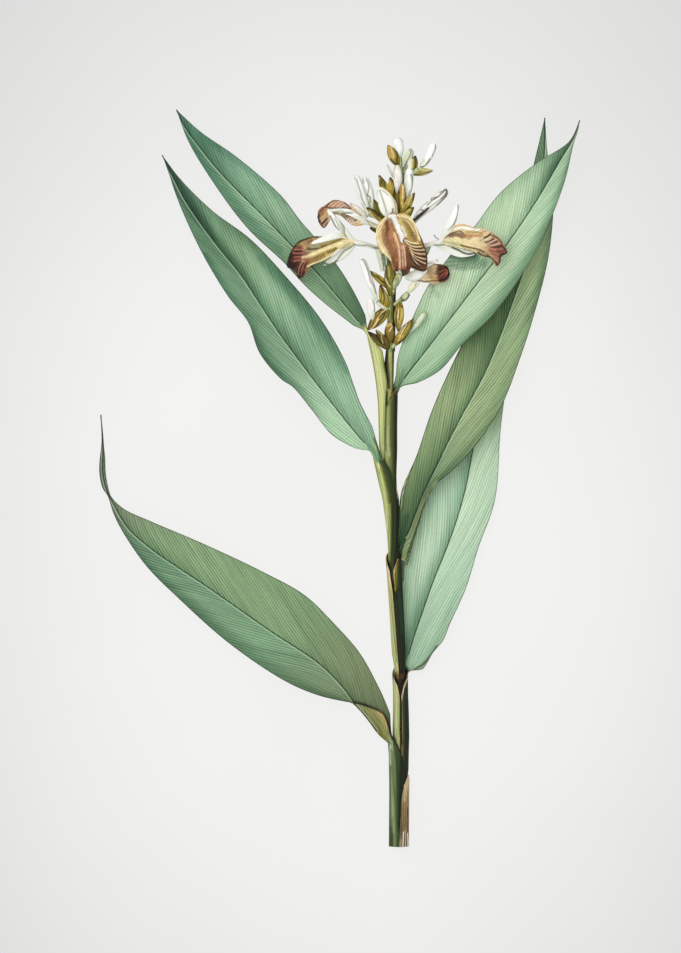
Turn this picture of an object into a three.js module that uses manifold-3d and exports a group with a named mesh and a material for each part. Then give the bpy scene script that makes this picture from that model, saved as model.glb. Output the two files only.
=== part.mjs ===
// A cut flowering shoot of an erect ginger, lying on its back on a flat surface.
// Six leaves clasp the cane one inside the other, and a head of white, cream and
// maroon flowers ends it. The shoot runs along +Y, its leaves spread along X, and
// +Z is up, towards the side that is seen. Lengths are millimetres.

import * as THREE from 'three';
import { mergeVertices } from 'three/addons/utils/BufferGeometryUtils.js';
import Module from 'manifold-3d';

const wasm = await Module();
wasm.setup();

// Driving dimensions
const CUT_END_Y = -192;
const CUT_END_HEIGHT = 4.7;
const SHOOT_RISE = 0.0635;
const LEAF_THICKNESS = 0.7;
const PETAL_THICKNESS = 0.7;
const BRACT_THICKNESS = 1.0;
const SEAT_GAP = 0.3;
const WELD = 0.03;
const NARROWEST_HALF_WIDTH = 0.5;
const OPENING_LENGTH = 9;

// How finely each form is split
const LEAF_COLUMNS = 10;
const BLADE_ROWS = 16;
const TIP_ROW_CROWDING = 1.15;
const SHEATH_ROW_STEP = 16;
const BRACT_GRID = [5, 2];
const PETAL_GRID = [6, 4];
const LIP_GRID = [9, 6];
const CANE_SIDES = 10;
const RACHIS_GRID = [9, 8];
const PEDICEL_SIDES = 5;
const TUBE_GRID = [4, 7];
const BUD_GRID = [6, 7];

// The middle of the shoot, seen from above: [x, y]
const SHOOT_LINE = [
  [31.3, CUT_END_Y], [31.5, -165], [31.5, -140], [32.2, -112], [31.0, -84],
  [28.8, -43], [27.7, -10], [26.6, 20], [26.9, 45], [27.3, 72], [27.6, 92],
  [28.0, 108], [29.6, 126], [31.5, 144], [33.7, 159],
];
const SHOOT_CURVE = curveThrough(SHOOT_LINE);

// The cane's radius at distances along it; it narrows where a sheath stands on its ring
const CANE_PROFILE = [
  [CUT_END_Y, 3.7], [-175, 3.6], [-166.6, 3.6], [-165.5, 2.45], [-150, 2.4], [-133, 2.35],
  [-131.6, 2.35], [-131.2, 1.85], [-115, 1.8], [-100, 1.8], [-88.4, 1.75], [-87.8, 2.3],
  [-86.7, 2.3], [-86.3, 1.65], [-70, 1.65], [-52, 1.65], [-36, 1.65], [-20.4, 1.65],
  [-19.8, 2.1], [-18.7, 2.1], [-18.3, 1.6], [-5, 1.6], [6, 1.6], [13.6, 1.6], [14.2, 1.95],
  [15.3, 1.95], [15.7, 1.55], [30, 1.6], [45, 1.75], [56, 1.8], [65.4, 1.85],
];

// The rachis goes on from the cane's end, and carries the flowers
const RACHIS_START = [27.2, 65.7];
const RACHIS_RADII = [1.9, 1.85, 1.8, 1.7, 1.6, 1.5, 1.2];

// Shares of the width or radius of each small form, from its seat to its tip
const BUD_SWELL = [0.42, 0.66, 0.86, 0.98, 1, 0.88, 0.42];
const BRACT_SWELL = { foot: 0.16, belly: 0.34, tipTaper: 0.6, bow: 0.06, keel: 0.35 };
const PETAL_SWELL = { foot: 0.3, belly: 0.7, roundEnd: 0.94, cup: 0.22 };

const GREEN = { color: 0x6f9a72, roughness: 0.55 };
const PALE_GREEN = { color: 0xa3c6a3, roughness: 0.55 };
const OLIVE_GREEN = { color: 0x7d9a62, roughness: 0.55 };
const CANE_GREEN = { color: 0x8fa05a, roughness: 0.6 };
const BRACT_OLIVE = { color: 0x95822f, roughness: 0.6 };
const DRY_BROWN = { color: 0xa58c6e, roughness: 0.8 };
const PETAL_WHITE = { color: 0xecede2, roughness: 0.5 };
const LIP_TAN = { color: 0xb98e66, roughness: 0.55 };

// Each leaf is one grown sheet: a sheath rolled round the shoot, then the blade.
// A sheath station is [y, shift x, shift z, radius x, radius z, turn, wrap to the near
// margin, wrap to the far margin]. The shifts are from the middle of the shoot, and the
// turn is the angle of the leaf's back, from +X towards +Z. The mouth's near margin
// hangs lower by mouthDrop.
// The midrib is [x, y, z], the margins are [x, y], and the lifts raise the margins
// over the midrib, from the base to the tip. The near margin is the one towards -Y.
const LEAVES = {
  leaf_lowest_left: {
    material: GREEN,
    hand: -1,
    sheath: [
      [-192, -0.3, 0, 4.55, 4.55, 180, 172, 172], [-168, -0.3, 0, 4.55, 4.55, 180, 172, 172],
      [-156, -0.1, 0, 4.8, 4.8, 180, 150, 165], [-150, 0, 0, 5.0, 5.0, 180, 125, 150],
      [-144, 0, 0, 5.05, 5.05, 180, 98, 120], [-138, -0.5, 0, 5.05, 5.05, 180, 72, 75],
    ],
    midrib: [
      [21.4, -133.6, 8.4], [15.4, -125.9, 9], [9.0, -118, 9.9], [2.3, -108.9, 10.8],
      [-9.5, -97, 11.5], [-35.5, -79.5, 11.5], [-67, -57.5, 9], [-98, -36.5, 6],
      [-110, -25.5, 4.8], [-118, -12, 3.8], [-121.5, -4.5, 3.5], [-123, 4, 3.2],
      [-122.8, 16, 2.4], [-124, 33, 1.6],
    ],
    near: [
      [26.5, -131], [24.5, -125], [21.5, -121.8], [13.8, -117.8], [5, -116.5],
      [-10.5, -113], [-28, -105.5], [-57, -86], [-83.5, -62.5], [-100, -46],
      [-112.5, -28], [-117.5, -18], [-120.4, -8.8], [-122.8, -5.5], [-124.5, 2],
      [-124.5, 9], [-123.6, 18], [-124, 33],
    ],
    far: [
      [28.5, -131], [27, -125], [24.5, -117.5], [21, -109], [11, -91], [-2.5, -75.5],
      [-17.5, -61], [-40, -48.5], [-72, -33.5], [-98, -22.5], [-112, -16],
      [-118.5, -9.6], [-120, -5.5], [-121.4, 2], [-121.8, 11], [-122.4, 18], [-124, 33],
    ],
    lift: { near: [3.6, 2.6, 1.2, 0.4, -1.2, -0.6, 0, 0], far: [-3, 0, 2.5, 3, 2, 1, 0, 0] },
    waves: [0.9, 3, 0.4],
  },
  leaf_lowest_right: {
    material: PALE_GREEN,
    hand: 1,
    sheath: [
      [-165, -0.2, 0, 3.3, 3.3, -90, 172, 172], [-150, -0.1, 0, 3.4, 3.4, -90, 172, 172],
      [-135, 0.7, 0, 4.0, 3.75, -90, 172, 172], [-113, 0.1, 0, 3.75, 3.7, -88, 172, 172],
      [-108, 0.1, 0, 3.75, 3.75, -82, 150, 162], [-104, 0.1, -0.1, 3.85, 3.85, -74, 110, 134],
      [-102, 0.1, -0.2, 3.95, 3.95, -69, 88, 112], [-100, 0.1, -0.4, 4.0, 4.0, -64, 62, 86],
    ],
    mouthDrop: 2.4,
    midrib: [
      [36.8, -91, 6.8], [39.2, -83, 7.2], [45, -66, 8], [50, -52, 8], [55.5, -38.5, 7.5],
      [60.5, -25, 7], [66, -6, 6], [69.5, 12, 5], [73.5, 31, 4], [79, 48.5, 3],
      [85, 63, 2.2], [89.5, 73, 1.8],
    ],
    near: [
      [37.3, -102], [40, -100.5], [44, -97.5], [49, -90.5], [54.5, -84.5], [58, -76],
      [66.5, -57], [73, -36], [81.5, -11.5], [84.5, 25], [88, 53.5], [89.5, 73],
    ],
    far: [
      [34.6, -97], [35, -84], [34.2, -71], [34, -58], [34.6, -50], [37, -39.5], [45, -13.5],
      [56.5, 12], [71.5, 44], [81, 60.5], [89.5, 73],
    ],
    lift: { near: [2, 2.2, 1.5, 0.5, 0, 0.3, 0], far: [-1.6, -0.6, 0.5, 1, 0.8, 0.4, 0] },
    waves: [0.6, 4, 1.0],
  },
  leaf_middle_right: {
    material: OLIVE_GREEN,
    hand: 1,
    sheath: [
      [-131, 0, 0, 2.55, 2.55, -85, 172, 172], [-99, 0.1, 0, 2.55, 2.55, -85, 172, 172],
      [-92, 0, 0, 3.3, 3.3, -85, 172, 172], [-84, 0, 0, 3.45, 3.45, -82, 172, 172],
      [-60, 0, 0, 3.6, 3.6, -73, 172, 172], [-48, 0, 0, 3.75, 3.75, -60, 156, 168],
      [-42, -0.2, 0, 3.95, 3.95, -52, 110, 128], [-37, -0.1, -0.2, 3.9, 3.9, -44, 52, 66],
    ],
    mouthDrop: 6,
    midrib: [
      [33.5, -33.3, 12.6], [36.7, -27, 13], [39.3, -19.8, 13.6], [44.5, -7, 14.6],
      [51, 6.8, 15.6], [64.2, 32.8, 16], [75.7, 54, 15.4], [85, 76.4, 13.6],
      [92.3, 96.7, 11.6], [100.6, 121.2, 8.6], [104.3, 138.3, 6], [106.5, 157.5, 2.6],
      [107.4, 172, 0.35], [107.6, 188, 0.35],
    ],
    near: [
      [35.1, -45.8], [39.5, -33], [42.9, -19.8], [44.5, -12], [49.1, -4.7], [58, 3],
      [68.5, 13.5], [84, 36], [94, 61], [102.5, 87.5], [109.5, 116], [112, 144.5],
      [110.5, 157.5], [108.8, 172], [107.6, 188],
    ],
    far: [
      [31.4, -32], [31.4, -18], [33, -6], [40.5, 11.5], [48.5, 35], [60.5, 62],
      [75.5, 91.5], [91.5, 124], [99, 152.5], [103.5, 170.5], [107.6, 188],
    ],
    lift: { near: [2.5, 3, 2.5, 0.5, -0.5, -0.5, 0, 0], far: [-1.5, 0, 2, 2.5, 1.5, 0.5, 0, 0] },
    waves: [0.7, 4, 2.0],
  },
  leaf_middle_left: {
    material: GREEN,
    hand: 1,
    sheath: [
      [-86, 0, 0, 2.4, 2.4, 180, 172, 172], [-60, 0, 0, 2.5, 2.5, 180, 172, 172],
      [-38, 0, 0, 2.55, 2.55, 180, 172, 172], [-30, 0, 0, 2.75, 2.75, 180, 172, 172],
      [-20, -0.1, 0, 3.6, 3.6, 180, 170, 172], [-11, -0.5, 0, 4.2, 4.2, 180, 150, 168],
      [-3, -1.5, 0, 4.7, 4.5, 180, 122, 138], [5, -2.5, 0, 5.2, 4.4, 180, 108, 112],
      [11, -3.7, 0, 5.0, 4.1, 180, 78, 84],
    ],
    midrib: [
      [15.5, 16, 18.4], [11, 21, 19], [-7, 43.5, 19.6], [-30.5, 75, 17.4],
      [-51, 106, 12.5], [-61.5, 119, 9.3], [-72, 133, 5.5], [-80, 145, 2.2],
      [-86, 156.5, 0.35], [-92, 168.5, 0.35],
    ],
    near: [
      [16.8, 10.8], [11, 14.5], [3.5, 18], [-4, 23], [-14, 35.5], [-23.5, 47], [-30, 51.5],
      [-41, 65], [-47, 81], [-57.5, 94.5], [-72, 119], [-84, 145.5], [-88.5, 159],
      [-92, 168.5],
    ],
    far: [
      [20.3, 18.5], [18, 25.5], [11, 39.5], [7.5, 49.5], [3.5, 60.5], [-9.5, 83],
      [-28, 105.5], [-46, 124.5], [-66, 139.5], [-82.5, 156], [-92, 168.5],
    ],
    lift: { near: [-2, -1, 1.5, 2.5, 1.5, 0.8, 0, 0], far: [2.5, 2.5, 2.5, 1, 0.5, 0.5, 0, 0] },
    waves: [0.8, 4, 0.2],
  },
  leaf_top_right: {
    material: PALE_GREEN,
    hand: 1,
    sheath: [
      [-18, 0, 0, 2.5, 2.5, -10, 172, 172], [0, 0, 0, 2.6, 2.6, -10, 172, 172],
      [5, 0, 0, 2.9, 2.9, -10, 172, 160], [10, 0, 0, 3.3, 3.3, -10, 165, 145],
      [15, 0, 0, 3.6, 3.7, -10, 155, 125], [20, 0, 0, 3.7, 3.85, -10, 143, 112],
      [39, 0, 0, 3.7, 3.85, -8, 121, 108], [44, 0, 0, 3.7, 3.7, -5, 84, 84],
    ],
    midrib: [
      [33, 49.5, 20], [37, 55.5, 20.6], [47.5, 69, 22], [68.5, 96.5, 24.4],
      [87.5, 121.5, 24.8], [103, 144.5, 22], [116, 166.5, 17.4], [122, 176.5, 15.6],
      [125.5, 186, 14.6],
    ],
    near: [
      [32.6, 45.8], [40, 49], [47.5, 52.5], [54, 57], [64.5, 69.5], [79, 83.5], [94.5, 104.5],
      [108, 129.5], [117.5, 154], [122.3, 174], [124.4, 180], [125.5, 186],
    ],
    far: [
      [30.3, 50.5], [30.3, 60], [33, 70], [41.5, 90], [46, 99], [57.5, 115], [70.5, 130.5],
      [84, 148], [102, 163], [119, 174], [123, 179.5], [125.5, 186],
    ],
    lift: { near: [1.5, 1, 0, -1.2, -1, -0.5, 0], far: [-1.5, 0.5, 1.6, 1.6, 1, 0.5, 0] },
    waves: [0.7, 4, 0.9],
  },
  leaf_top_left: {
    material: GREEN,
    hand: 1,
    sheath: [
      [16, 0, 0, 2.3, 2.3, 180, 140, 140], [24, -0.3, 0, 2.5, 2.3, 180, 112, 112],
      [40, -2.8, 0, 3.0, 2.3, 180, 105, 105], [49, -3.1, 0, 3.3, 3.3, 180, 105, 124],
      [59, -5.2, 0, 2.9, 2.9, 180, 110, 146], [66, -7.3, 0, 2.8, 2.7, 180, 105, 145],
      [70, -8.1, 0, 2.8, 2.7, 180, 85, 110], [74, -9.2, 0, 2.6, 2.6, 180, 60, 62],
    ],
    midrib: [
      [11.5, 79.5, 22.4], [1.5, 92, 22], [-11, 106.5, 20.5], [-36, 133, 16],
      [-60.5, 158, 10.5], [-72, 172, 7.5], [-80, 183, 5.4], [-84.5, 192, 4.4],
    ],
    near: [
      [14, 73.6], [8.5, 78.5], [-7, 90.5], [-17.5, 100], [-28, 111.5], [-47, 129.5],
      [-64, 152], [-78.5, 176], [-84.5, 192],
    ],
    far: [
      [16.6, 76.5], [14.5, 83], [7, 98.5], [-5, 116.5], [-20, 134], [-30, 147], [-53.5, 167.5],
      [-72, 180.5], [-84.5, 192],
    ],
    lift: { near: [-1.5, 0.5, 2, 1.5, 1, 0.5, 0], far: [1.5, 0.5, 0.5, 0.5, 0.5, 0.2, 0] },
    waves: [0.6, 4, 1.6],
  },
};

// Bracts: the short leaves of the flower head, [base, tip, width]
const BRACTS = [
  [[31.0, 162.0, 28.6], [25.6, 172.2, 34.4], 5.4], [[38.2, 158.4, 29.4], [39.8, 166.9, 32], 4.2],
  [[37.8, 157.9, 29.2], [48.8, 159.2, 31.4], 3.8], [[28.6, 139.5, 27], [21.0, 156.8, 30.5], 5.4],
  [[29.6, 142, 27.4], [26.8, 155.8, 30.6], 5.0], [[31.4, 136.4, 26.6], [33.2, 153.2, 34.4], 4.6],
  [[30.6, 135, 26.6], [28.9, 148, 33.4], 4.0], [[31.4, 134.4, 26.6], [39.4, 147.6, 34], 4.6],
  [[31, 131.8, 26.4], [39.0, 140.2, 34], 4.4], [[24.6, 131.6, 27], [17.8, 144.8, 30.8], 3.8],
  [[26.2, 131.0, 27.4], [14.4, 140.2, 32], 3.8], [[24.6, 128.4, 26.6], [16.2, 129.6, 28.6], 4.4],
  [[26.8, 98.3, 24.4], [16.2, 107.3, 28.4], 3.6], [[27.6, 94.5, 25], [26.2, 112.6, 30], 6.4],
  [[25.2, 87.6, 24.6], [21.6, 100, 28.6], 4.6], [[26, 88.4, 24.4], [15.2, 76.8, 27.6], 6.4],
  [[31.8, 91.2, 25.4], [30.9, 76, 28], 5.0], [[29.0, 69, 23.4], [38.9, 82.4, 31], 5.0],
  [[26.4, 69.8, 23.2], [26.3, 81.4, 27.8], 5.0], [[26, 66.9, 23.2], [15.4, 75.8, 28], 4.0],
  [[26.4, 67.2, 23.2], [19.4, 76.8, 28.4], 4.0],
];

// Flower stalks that leave the rachis: lists of [x, y, z, radius]
const PEDICELS = [
  [[32.8, 156.5, 26.8, 1.1], [32.2, 161.4, 27.6, 1.0], [31.6, 166.4, 28.4, 1.2]],
  [[33.6, 157.5, 26.8, 1.0], [34.4, 160.8, 28.2, 1.1]],
  [[33.4, 156.8, 26.8, 1.0], [38, 158, 29, 1.1], [41.4, 159.8, 30.2, 1.4]],
  [[31.6, 143, 26.2, 1.2], [31.0, 147.2, 28.6, 1.2]],
  [[31.8, 142.5, 26.2, 1.2], [35.6, 145.2, 28.8, 1.2]],
  [[30, 130.5, 25.6, 1.2], [23, 133.6, 27.2, 1.2], [17.6, 139.2, 28.4, 1.3]],
  [[21, 134.8, 27.4, 1.1], [15.8, 136.8, 29.4, 1.3]],
  [[30.2, 128.5, 25.4, 1.2], [34, 130, 28, 1.1], [38, 131.8, 30.2, 1.2]],
  [[29.8, 125, 25.2, 1.3], [29.8, 127.4, 28, 1.3]],
  [[29.4, 125.5, 25, 1.2], [22.6, 128.8, 26.8, 1.3]],
  [[28.4, 110.5, 24.2, 1.2], [25.2, 114.5, 26.6, 1.1], [22.8, 117.6, 28.6, 1.3]],
  [[29, 116, 24.6, 1.2], [35, 118.4, 28, 1.1], [41.6, 119.8, 30.6, 1.3]],
  [[28, 101.5, 23.8, 1.2], [29.4, 105.4, 26.2, 1.3]],
  [[28.4, 108, 24, 1.0], [36, 111, 26, 0.9], [42.9, 113.1, 27.8, 1.1]],
  [[27.8, 89.4, 23, 1.0], [31.4, 91.6, 25.2, 0.9], [33.4, 93, 26.4, 1.3], [34.8, 94.2, 27.2, 1.9],
    [36.0, 95.8, 27.8, 1.5]],
  [[27.4, 87.8, 23.2, 1.1], [23.6, 88.2, 25, 1.0], [20.2, 91.6, 26.6, 1.3]],
  [[25.4, 87.8, 24.2, 1.0], [19.4, 83.6, 25.6, 1.0], [17.8, 82.0, 26.2, 1.2]],
  [[27.6, 67.4, 22, 1.1], [29.4, 69.6, 23.6, 1.1]],
  [[27.8, 93.8, 23.4, 1.0], [28.5, 98.0, 25.9, 1.1]],
];

// Buds: a line of [x, y, z] from the seat to the tip, and the largest radius
const BUDS = {
  bud_crown: [[[31.6, 166.6, 28.6], [30.7, 176.2, 30.6]], 2.9],
  bud_crown_right: [[[34.5, 161.2, 28.4], [37.4, 170.6, 31]], 2.6],
  bud_far_right: [[[42.0, 160.4, 30.5], [46.0, 165.2, 32], [49.6, 173.4, 33]], 2.1],
  bud_upper: [[[31.0, 147.6, 28.9], [30.6, 162.2, 31.6]], 2.5],
  bud_upper_right: [[[35.9, 145.6, 29.1], [36.8, 160.6, 30.4]], 2.5],
  bud_upper_left: [[[15.6, 137.2, 29.7], [11.9, 147.2, 32], [8.5, 156.8, 33]], 2.5],
  bud_two_lobed: [[[17.4, 139.6, 28.8], [16.2, 147.4, 30], [13.2, 155.8, 31]], 2.4],
  bud_striped: [[[38.5, 132.2, 30.6], [42.6, 137, 33], [49.8, 143, 35], [56.2, 149.4, 36]], 2.7],
  bud_right_low: [[[36.3, 96.3, 28.1], [38.4, 99.2, 29.2], [41.5, 102.8, 30]], 2.0],
  bud_left_long: [[[19.9, 92.1, 26.8], [16.6, 101, 29], [12.0, 113.6, 31]], 2.1],
  bud_left_low: [[[17.6, 82.4, 26.4], [16.5, 93, 29]], 2.1],
  bud_lowest_right: [[[33.5, 73.5, 24.8], [41.4, 81.2, 27.2], [45.2, 86.2, 28.6]], 2.1],
  bud_centre: [[[28.6, 98.4, 26.2], [32.2, 106.2, 29]], 1.9],
  bud_behind_lip: [[[43.6, 113.6, 28.2], [46.9, 121.8, 30]], 1.9],
};

// Open flowers. The tube is [x, y, z, radius]; each petal is [line, width] and the
// lip is drawn as a leaf blade is, by its midline, its margins and their lifts.
const FLOWERS = {
  flower_centre: {
    tube: [[29.9, 127.8, 28.6, 1.4], [30.2, 131.4, 32, 1.7], [30.9, 135.6, 35.4, 2.3]],
    petals: [
      [[[29.6, 134.4, 34.4], [26.8, 138.0, 36], [24.2, 144.0, 37.4], [20.6, 150.2, 38]], 9.0],
    ],
    lip: {
      midrib: [[30.8, 136.6, 36], [31.4, 128, 41], [32.5, 119.6, 43], [33, 112.3, 41.6],
        [33.3, 104.3, 38]],
      near: [[34, 137.2], [37.6, 134.7], [41.3, 127.4], [44.5, 119.6], [46, 112.3],
        [44.8, 106.9], [40.3, 107.8], [37.7, 109], [36.3, 106], [33.3, 104.3]],
      far: [[27.5, 137.4], [24, 134.8], [20.2, 131], [19.4, 124.5], [21, 118.2],
        [26.4, 112.9], [28.4, 107.8], [30.6, 107], [31.6, 108.6], [33.3, 104.3]],
      lift: { near: [1, 1.5, 0.5, -1.5, -2, 0], far: [1, 0.5, -0.5, -1.5, -1, 0] },
      waves: [0.7, 5, 0.4],
    },
  },
  flower_left: {
    tube: [[22.4, 118.2, 28.9, 1.2], [14.3, 120.8, 33, 1.2], [7.4, 122.0, 35.2, 1.9]],
    petals: [
      [[[8.8, 121.4, 34.6], [1.4, 115.4, 33.4], [-7.6, 110.4, 31.6]], 4.6],
      [[[8.2, 122.4, 35.2], [3.0, 127.6, 36.6], [-5.6, 139, 37]], 3.6],
    ],
    lip: {
      midrib: [[8.4, 121.9, 35.6], [0.8, 121, 38], [-9.6, 118, 38.4], [-17.4, 114.4, 36.4],
        [-24.2, 108.2, 32]],
      near: [[7.2, 120.4], [0.8, 118.4], [-6.5, 113.1], [-14.8, 108.7], [-17.9, 104.6],
        [-20.4, 103], [-21.8, 106.4], [-24.2, 108.2]],
      far: [[7.4, 123.3], [0.8, 124.2], [-10.1, 125], [-16.4, 124.2], [-21.4, 121.7],
        [-25, 116.3], [-26.6, 109.4], [-24.2, 108.2]],
      lift: { near: [0, -1, -2.5, -3, -2, 0], far: [0, -0.6, -1, -2, -2.5, 0] },
      waves: [0.6, 5, 0.1],
    },
  },
  flower_upper_left: {
    tube: [[22.2, 129.2, 27.1, 1.2], [16.4, 131.8, 29, 1.2], [11.6, 133.4, 31, 1.7]],
    petals: [
      [[[13.4, 133, 31.4], [4, 138, 34.2], [-4.4, 138.8, 33.4]], 2.8],
    ],
    lip: {
      midrib: [[11.4, 134.2, 31], [8.6, 136.8, 31.8], [3.9, 138.3, 32.4], [-2.9, 138.8, 31.8],
        [-8.4, 137.0, 30.2], [-10.9, 134.7, 29]],
      near: [[12.6, 132.8], [13.2, 131.2], [7.6, 130.8], [4.6, 132.8], [1.8, 135.6],
        [-1.8, 136.5], [-4.4, 133.6], [-7.6, 129.4], [-9.8, 131.8], [-10.9, 134.7]],
      far: [[11.4, 136.4], [9.9, 137.8], [6.5, 140.7], [2.5, 143], [-2.1, 144],
        [-6.1, 141.8], [-10.1, 138.9], [-10.9, 134.7]],
      lift: { near: [0, -1.4, -1.8, -1.4, 0], far: [0, -1.6, -2.4, -2, 0] },
      waves: [0.5, 4, 0.7],
    },
  },
  flower_right: {
    tube: [[42.0, 120, 30.9, 1.2], [48.6, 121.2, 34, 1.2], [54.4, 122.4, 36.4, 1.9]],
    petals: [
      [[[52.8, 121.6, 36], [58.2, 131.4, 39.4], [61.8, 141.6, 41]], 4.2],
      [[[49.9, 121.2, 34.2], [56.4, 119.4, 35], [63.2, 116.5, 34.4], [70.5, 116.2, 32.6]], 5.0],
    ],
    lip: {
      midrib: [[54.2, 122.4, 36.8], [62.1, 125, 39.8], [70.5, 123.6, 40.2], [78.8, 120, 38.2],
        [87.4, 116.3, 34.6]],
      near: [[54.6, 121], [61.1, 119.4], [68.4, 117.8], [74.6, 114.8], [79.3, 113.4],
        [81.6, 109.4], [83.4, 111.2], [84.2, 114.6], [87.4, 116.3]],
      far: [[54.2, 124.6], [58.6, 129.6], [63.2, 131.3], [69.4, 129.8], [76.7, 128.1],
        [82.4, 124.6], [86.3, 119.6], [87.4, 116.3]],
      lift: { near: [0, -1.4, -2.6, -3, -1.6, 0], far: [0, -1, -1.6, -2, -1.4, 0] },
      waves: [0.6, 5, 0.3],
    },
  },
  flower_lower_right: {
    tube: [[29.8, 106.2, 26.6, 1.3], [34.1, 106, 28.8, 1.3], [38.4, 105, 30.4, 2.0]],
    petals: [
      [[[37.6, 105.6, 30.6], [44.5, 109.6, 32.6], [52.2, 113.2, 32]], 2.8],
    ],
    lip: {
      midrib: [[37.8, 105, 30.8], [45, 105.8, 33], [51.7, 105.8, 33.6], [57.7, 105.6, 31]],
      near: [[37.8, 103.2], [45, 101.2], [51.7, 100.9], [56.2, 102.4], [57.7, 105.6]],
      far: [[37.8, 106.9], [45, 109.9], [51.7, 110.7], [56.2, 109.4], [57.7, 105.6]],
      lift: { near: [0, -1.8, -2.4, -1.6, 0], far: [0, -1.6, -2.2, -1.4, 0] },
      waves: [0.3, 4, 0.5],
    },
  },
};

function axisHeight(y) {
  return CUT_END_HEIGHT + SHOOT_RISE * (y - CUT_END_Y);
}

// The middle of the shoot at a distance along it, found by halving
function shootMiddle(y) {
  let low = 0;
  let high = 1;
  for (let step = 0; step < 24; step += 1) {
    const half = 0.5 * (low + high);
    if (SHOOT_CURVE.getPoint(half).y < y) {
      low = half;
    } else {
      high = half;
    }
  }
  return new THREE.Vector3(SHOOT_CURVE.getPoint(low).x, y, axisHeight(y));
}

function smooth(from, to, value) {
  return THREE.MathUtils.smoothstep(value, from, to);
}

// A value between the numbers of a list that are spread evenly from 0 to 1
function along(values, u) {
  const place = THREE.MathUtils.clamp(u, 0, 1) * (values.length - 1);
  const index = Math.min(Math.floor(place), values.length - 2);
  return THREE.MathUtils.lerp(values[index], values[index + 1], place - index);
}

function curveThrough(points) {
  const places = points.map(([x, y, z = 0]) => new THREE.Vector3(x, y, z));
  return new THREE.CatmullRomCurve3(places, false, 'centripetal');
}

// A margin seen from the midrib, kept wide enough for a solid tip
function marginOffset(middle, margin, tangent, side, u) {
  const offset = new THREE.Vector3(margin.x - middle.x, margin.y - middle.y, 0);
  const across = new THREE.Vector3(tangent.y, -tangent.x, 0).normalize().multiplyScalar(side);
  const width = Math.max(offset.length(), NARROWEST_HALF_WIDTH);
  const squared = across.multiplyScalar(width);
  return offset.lerp(squared, smooth(0.96, 1, u));
}

// The surface of a blade or a lip: u runs from base to tip, v from the far margin at
// -1 through the midrib to the near margin at 1.
function bladeSurface({ midrib, near, far, lift, waves }) {
  const middleLine = curveThrough(midrib);
  const nearLine = curveThrough(near);
  const farLine = curveThrough(far);
  const sample = nearLine.getPointAt(0.5).sub(middleLine.getPointAt(0.5));
  const heading = middleLine.getTangentAt(0.5);
  const nearSide = Math.sign(sample.x * heading.y - sample.y * heading.x);
  const [waveHeight, waveCount, wavePhase] = waves;
  const surface = (u, v) => {
    const middle = middleLine.getPointAt(u);
    const tangent = middleLine.getTangentAt(u);
    const isNear = v >= 0;
    const margin = (isNear ? nearLine : farLine).getPointAt(u);
    const side = isNear ? nearSide : -nearSide;
    const offset = marginOffset(middle, margin, tangent, side, u);
    const spread = Math.abs(v);
    const rise = along(isNear ? lift.near : lift.far, u) * (0.4 * spread + 0.6 * spread ** 2);
    const ripple = Math.sin(2 * Math.PI * (waveCount * u + wavePhase + 0.2 * v));
    const fade = smooth(0.04, 0.2, u) * (1 - smooth(0.85, 1, u));
    const wave = waveHeight * spread ** 2 * ripple * fade;
    const point = middle.addScaledVector(offset, spread);
    point.z = Math.max(point.z + rise + wave, 0.5 * LEAF_THICKNESS);
    return point;
  };
  surface.bladeLength = middleLine.getLength();
  return surface;
}

function sheathSection(station, v, hand, drop) {
  const [, , , radiusX, radiusZ, turn, nearWrap, farWrap] = station;
  const wrap = v >= 0 ? nearWrap : farWrap;
  const angle = THREE.MathUtils.degToRad(turn + hand * v * wrap);
  const y = -drop * Math.max(v, 0) ** 2;
  return new THREE.Vector3(radiusX * Math.cos(angle), y, radiusZ * Math.sin(angle));
}

function sheathRow(station, columns, hand, drop = 0) {
  const [y, shiftX, shiftZ] = station;
  const middle = shootMiddle(y).add(new THREE.Vector3(shiftX, 0, shiftZ));
  return columns.map((v) => {
    const point = sheathSection(station, v, hand, drop).add(middle);
    point.z = Math.max(point.z, 0.5 * LEAF_THICKNESS);
    return point;
  });
}

// Sheath stations with even steps put in between, so that all follow the shoot's bend
function stationsBetween(stations) {
  const filled = [stations[0]];
  for (let k = 1; k < stations.length; k += 1) {
    const [from, to] = [stations[k - 1], stations[k]];
    const steps = Math.ceil((to[0] - from[0]) / SHEATH_ROW_STEP);
    for (let i = 1; i < steps; i += 1) {
      filled.push(from.map((value, n) => THREE.MathUtils.lerp(value, to[n], i / steps)));
    }
    filled.push(to);
  }
  return filled;
}

// Rows of points over one leaf, from the foot of its sheath to the tip of its blade
function leafRows(leaf) {
  const { sheath, hand, mouthDrop = 0 } = leaf;
  const columns = Array.from({ length: LEAF_COLUMNS + 1 }, (_, j) => -1 + (2 * j) / LEAF_COLUMNS);
  const mouth = sheath[sheath.length - 1];
  const rows = stationsBetween(sheath).map((station) => (
    sheathRow(station, columns, hand, station === mouth ? mouthDrop : 0)
  ));
  const back = rows[rows.length - 1][LEAF_COLUMNS / 2];
  const blade = bladeSurface({ ...leaf, midrib: [back.toArray(), ...leaf.midrib] });
  const mouthBack = sheathSection(mouth, 0, hand, 0);
  for (let i = 1; i <= BLADE_ROWS; i += 1) {
    const u = (i / BLADE_ROWS) ** TIP_ROW_CROWDING;
    const opened = smooth(0, OPENING_LENGTH, u * blade.bladeLength);
    rows.push(columns.map((v) => {
      const rolled = blade(u, 0).add(sheathSection(mouth, v, hand, mouthDrop)).sub(mouthBack);
      return rolled.lerp(blade(u, v), opened);
    }));
  }
  return rows;
}

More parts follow.
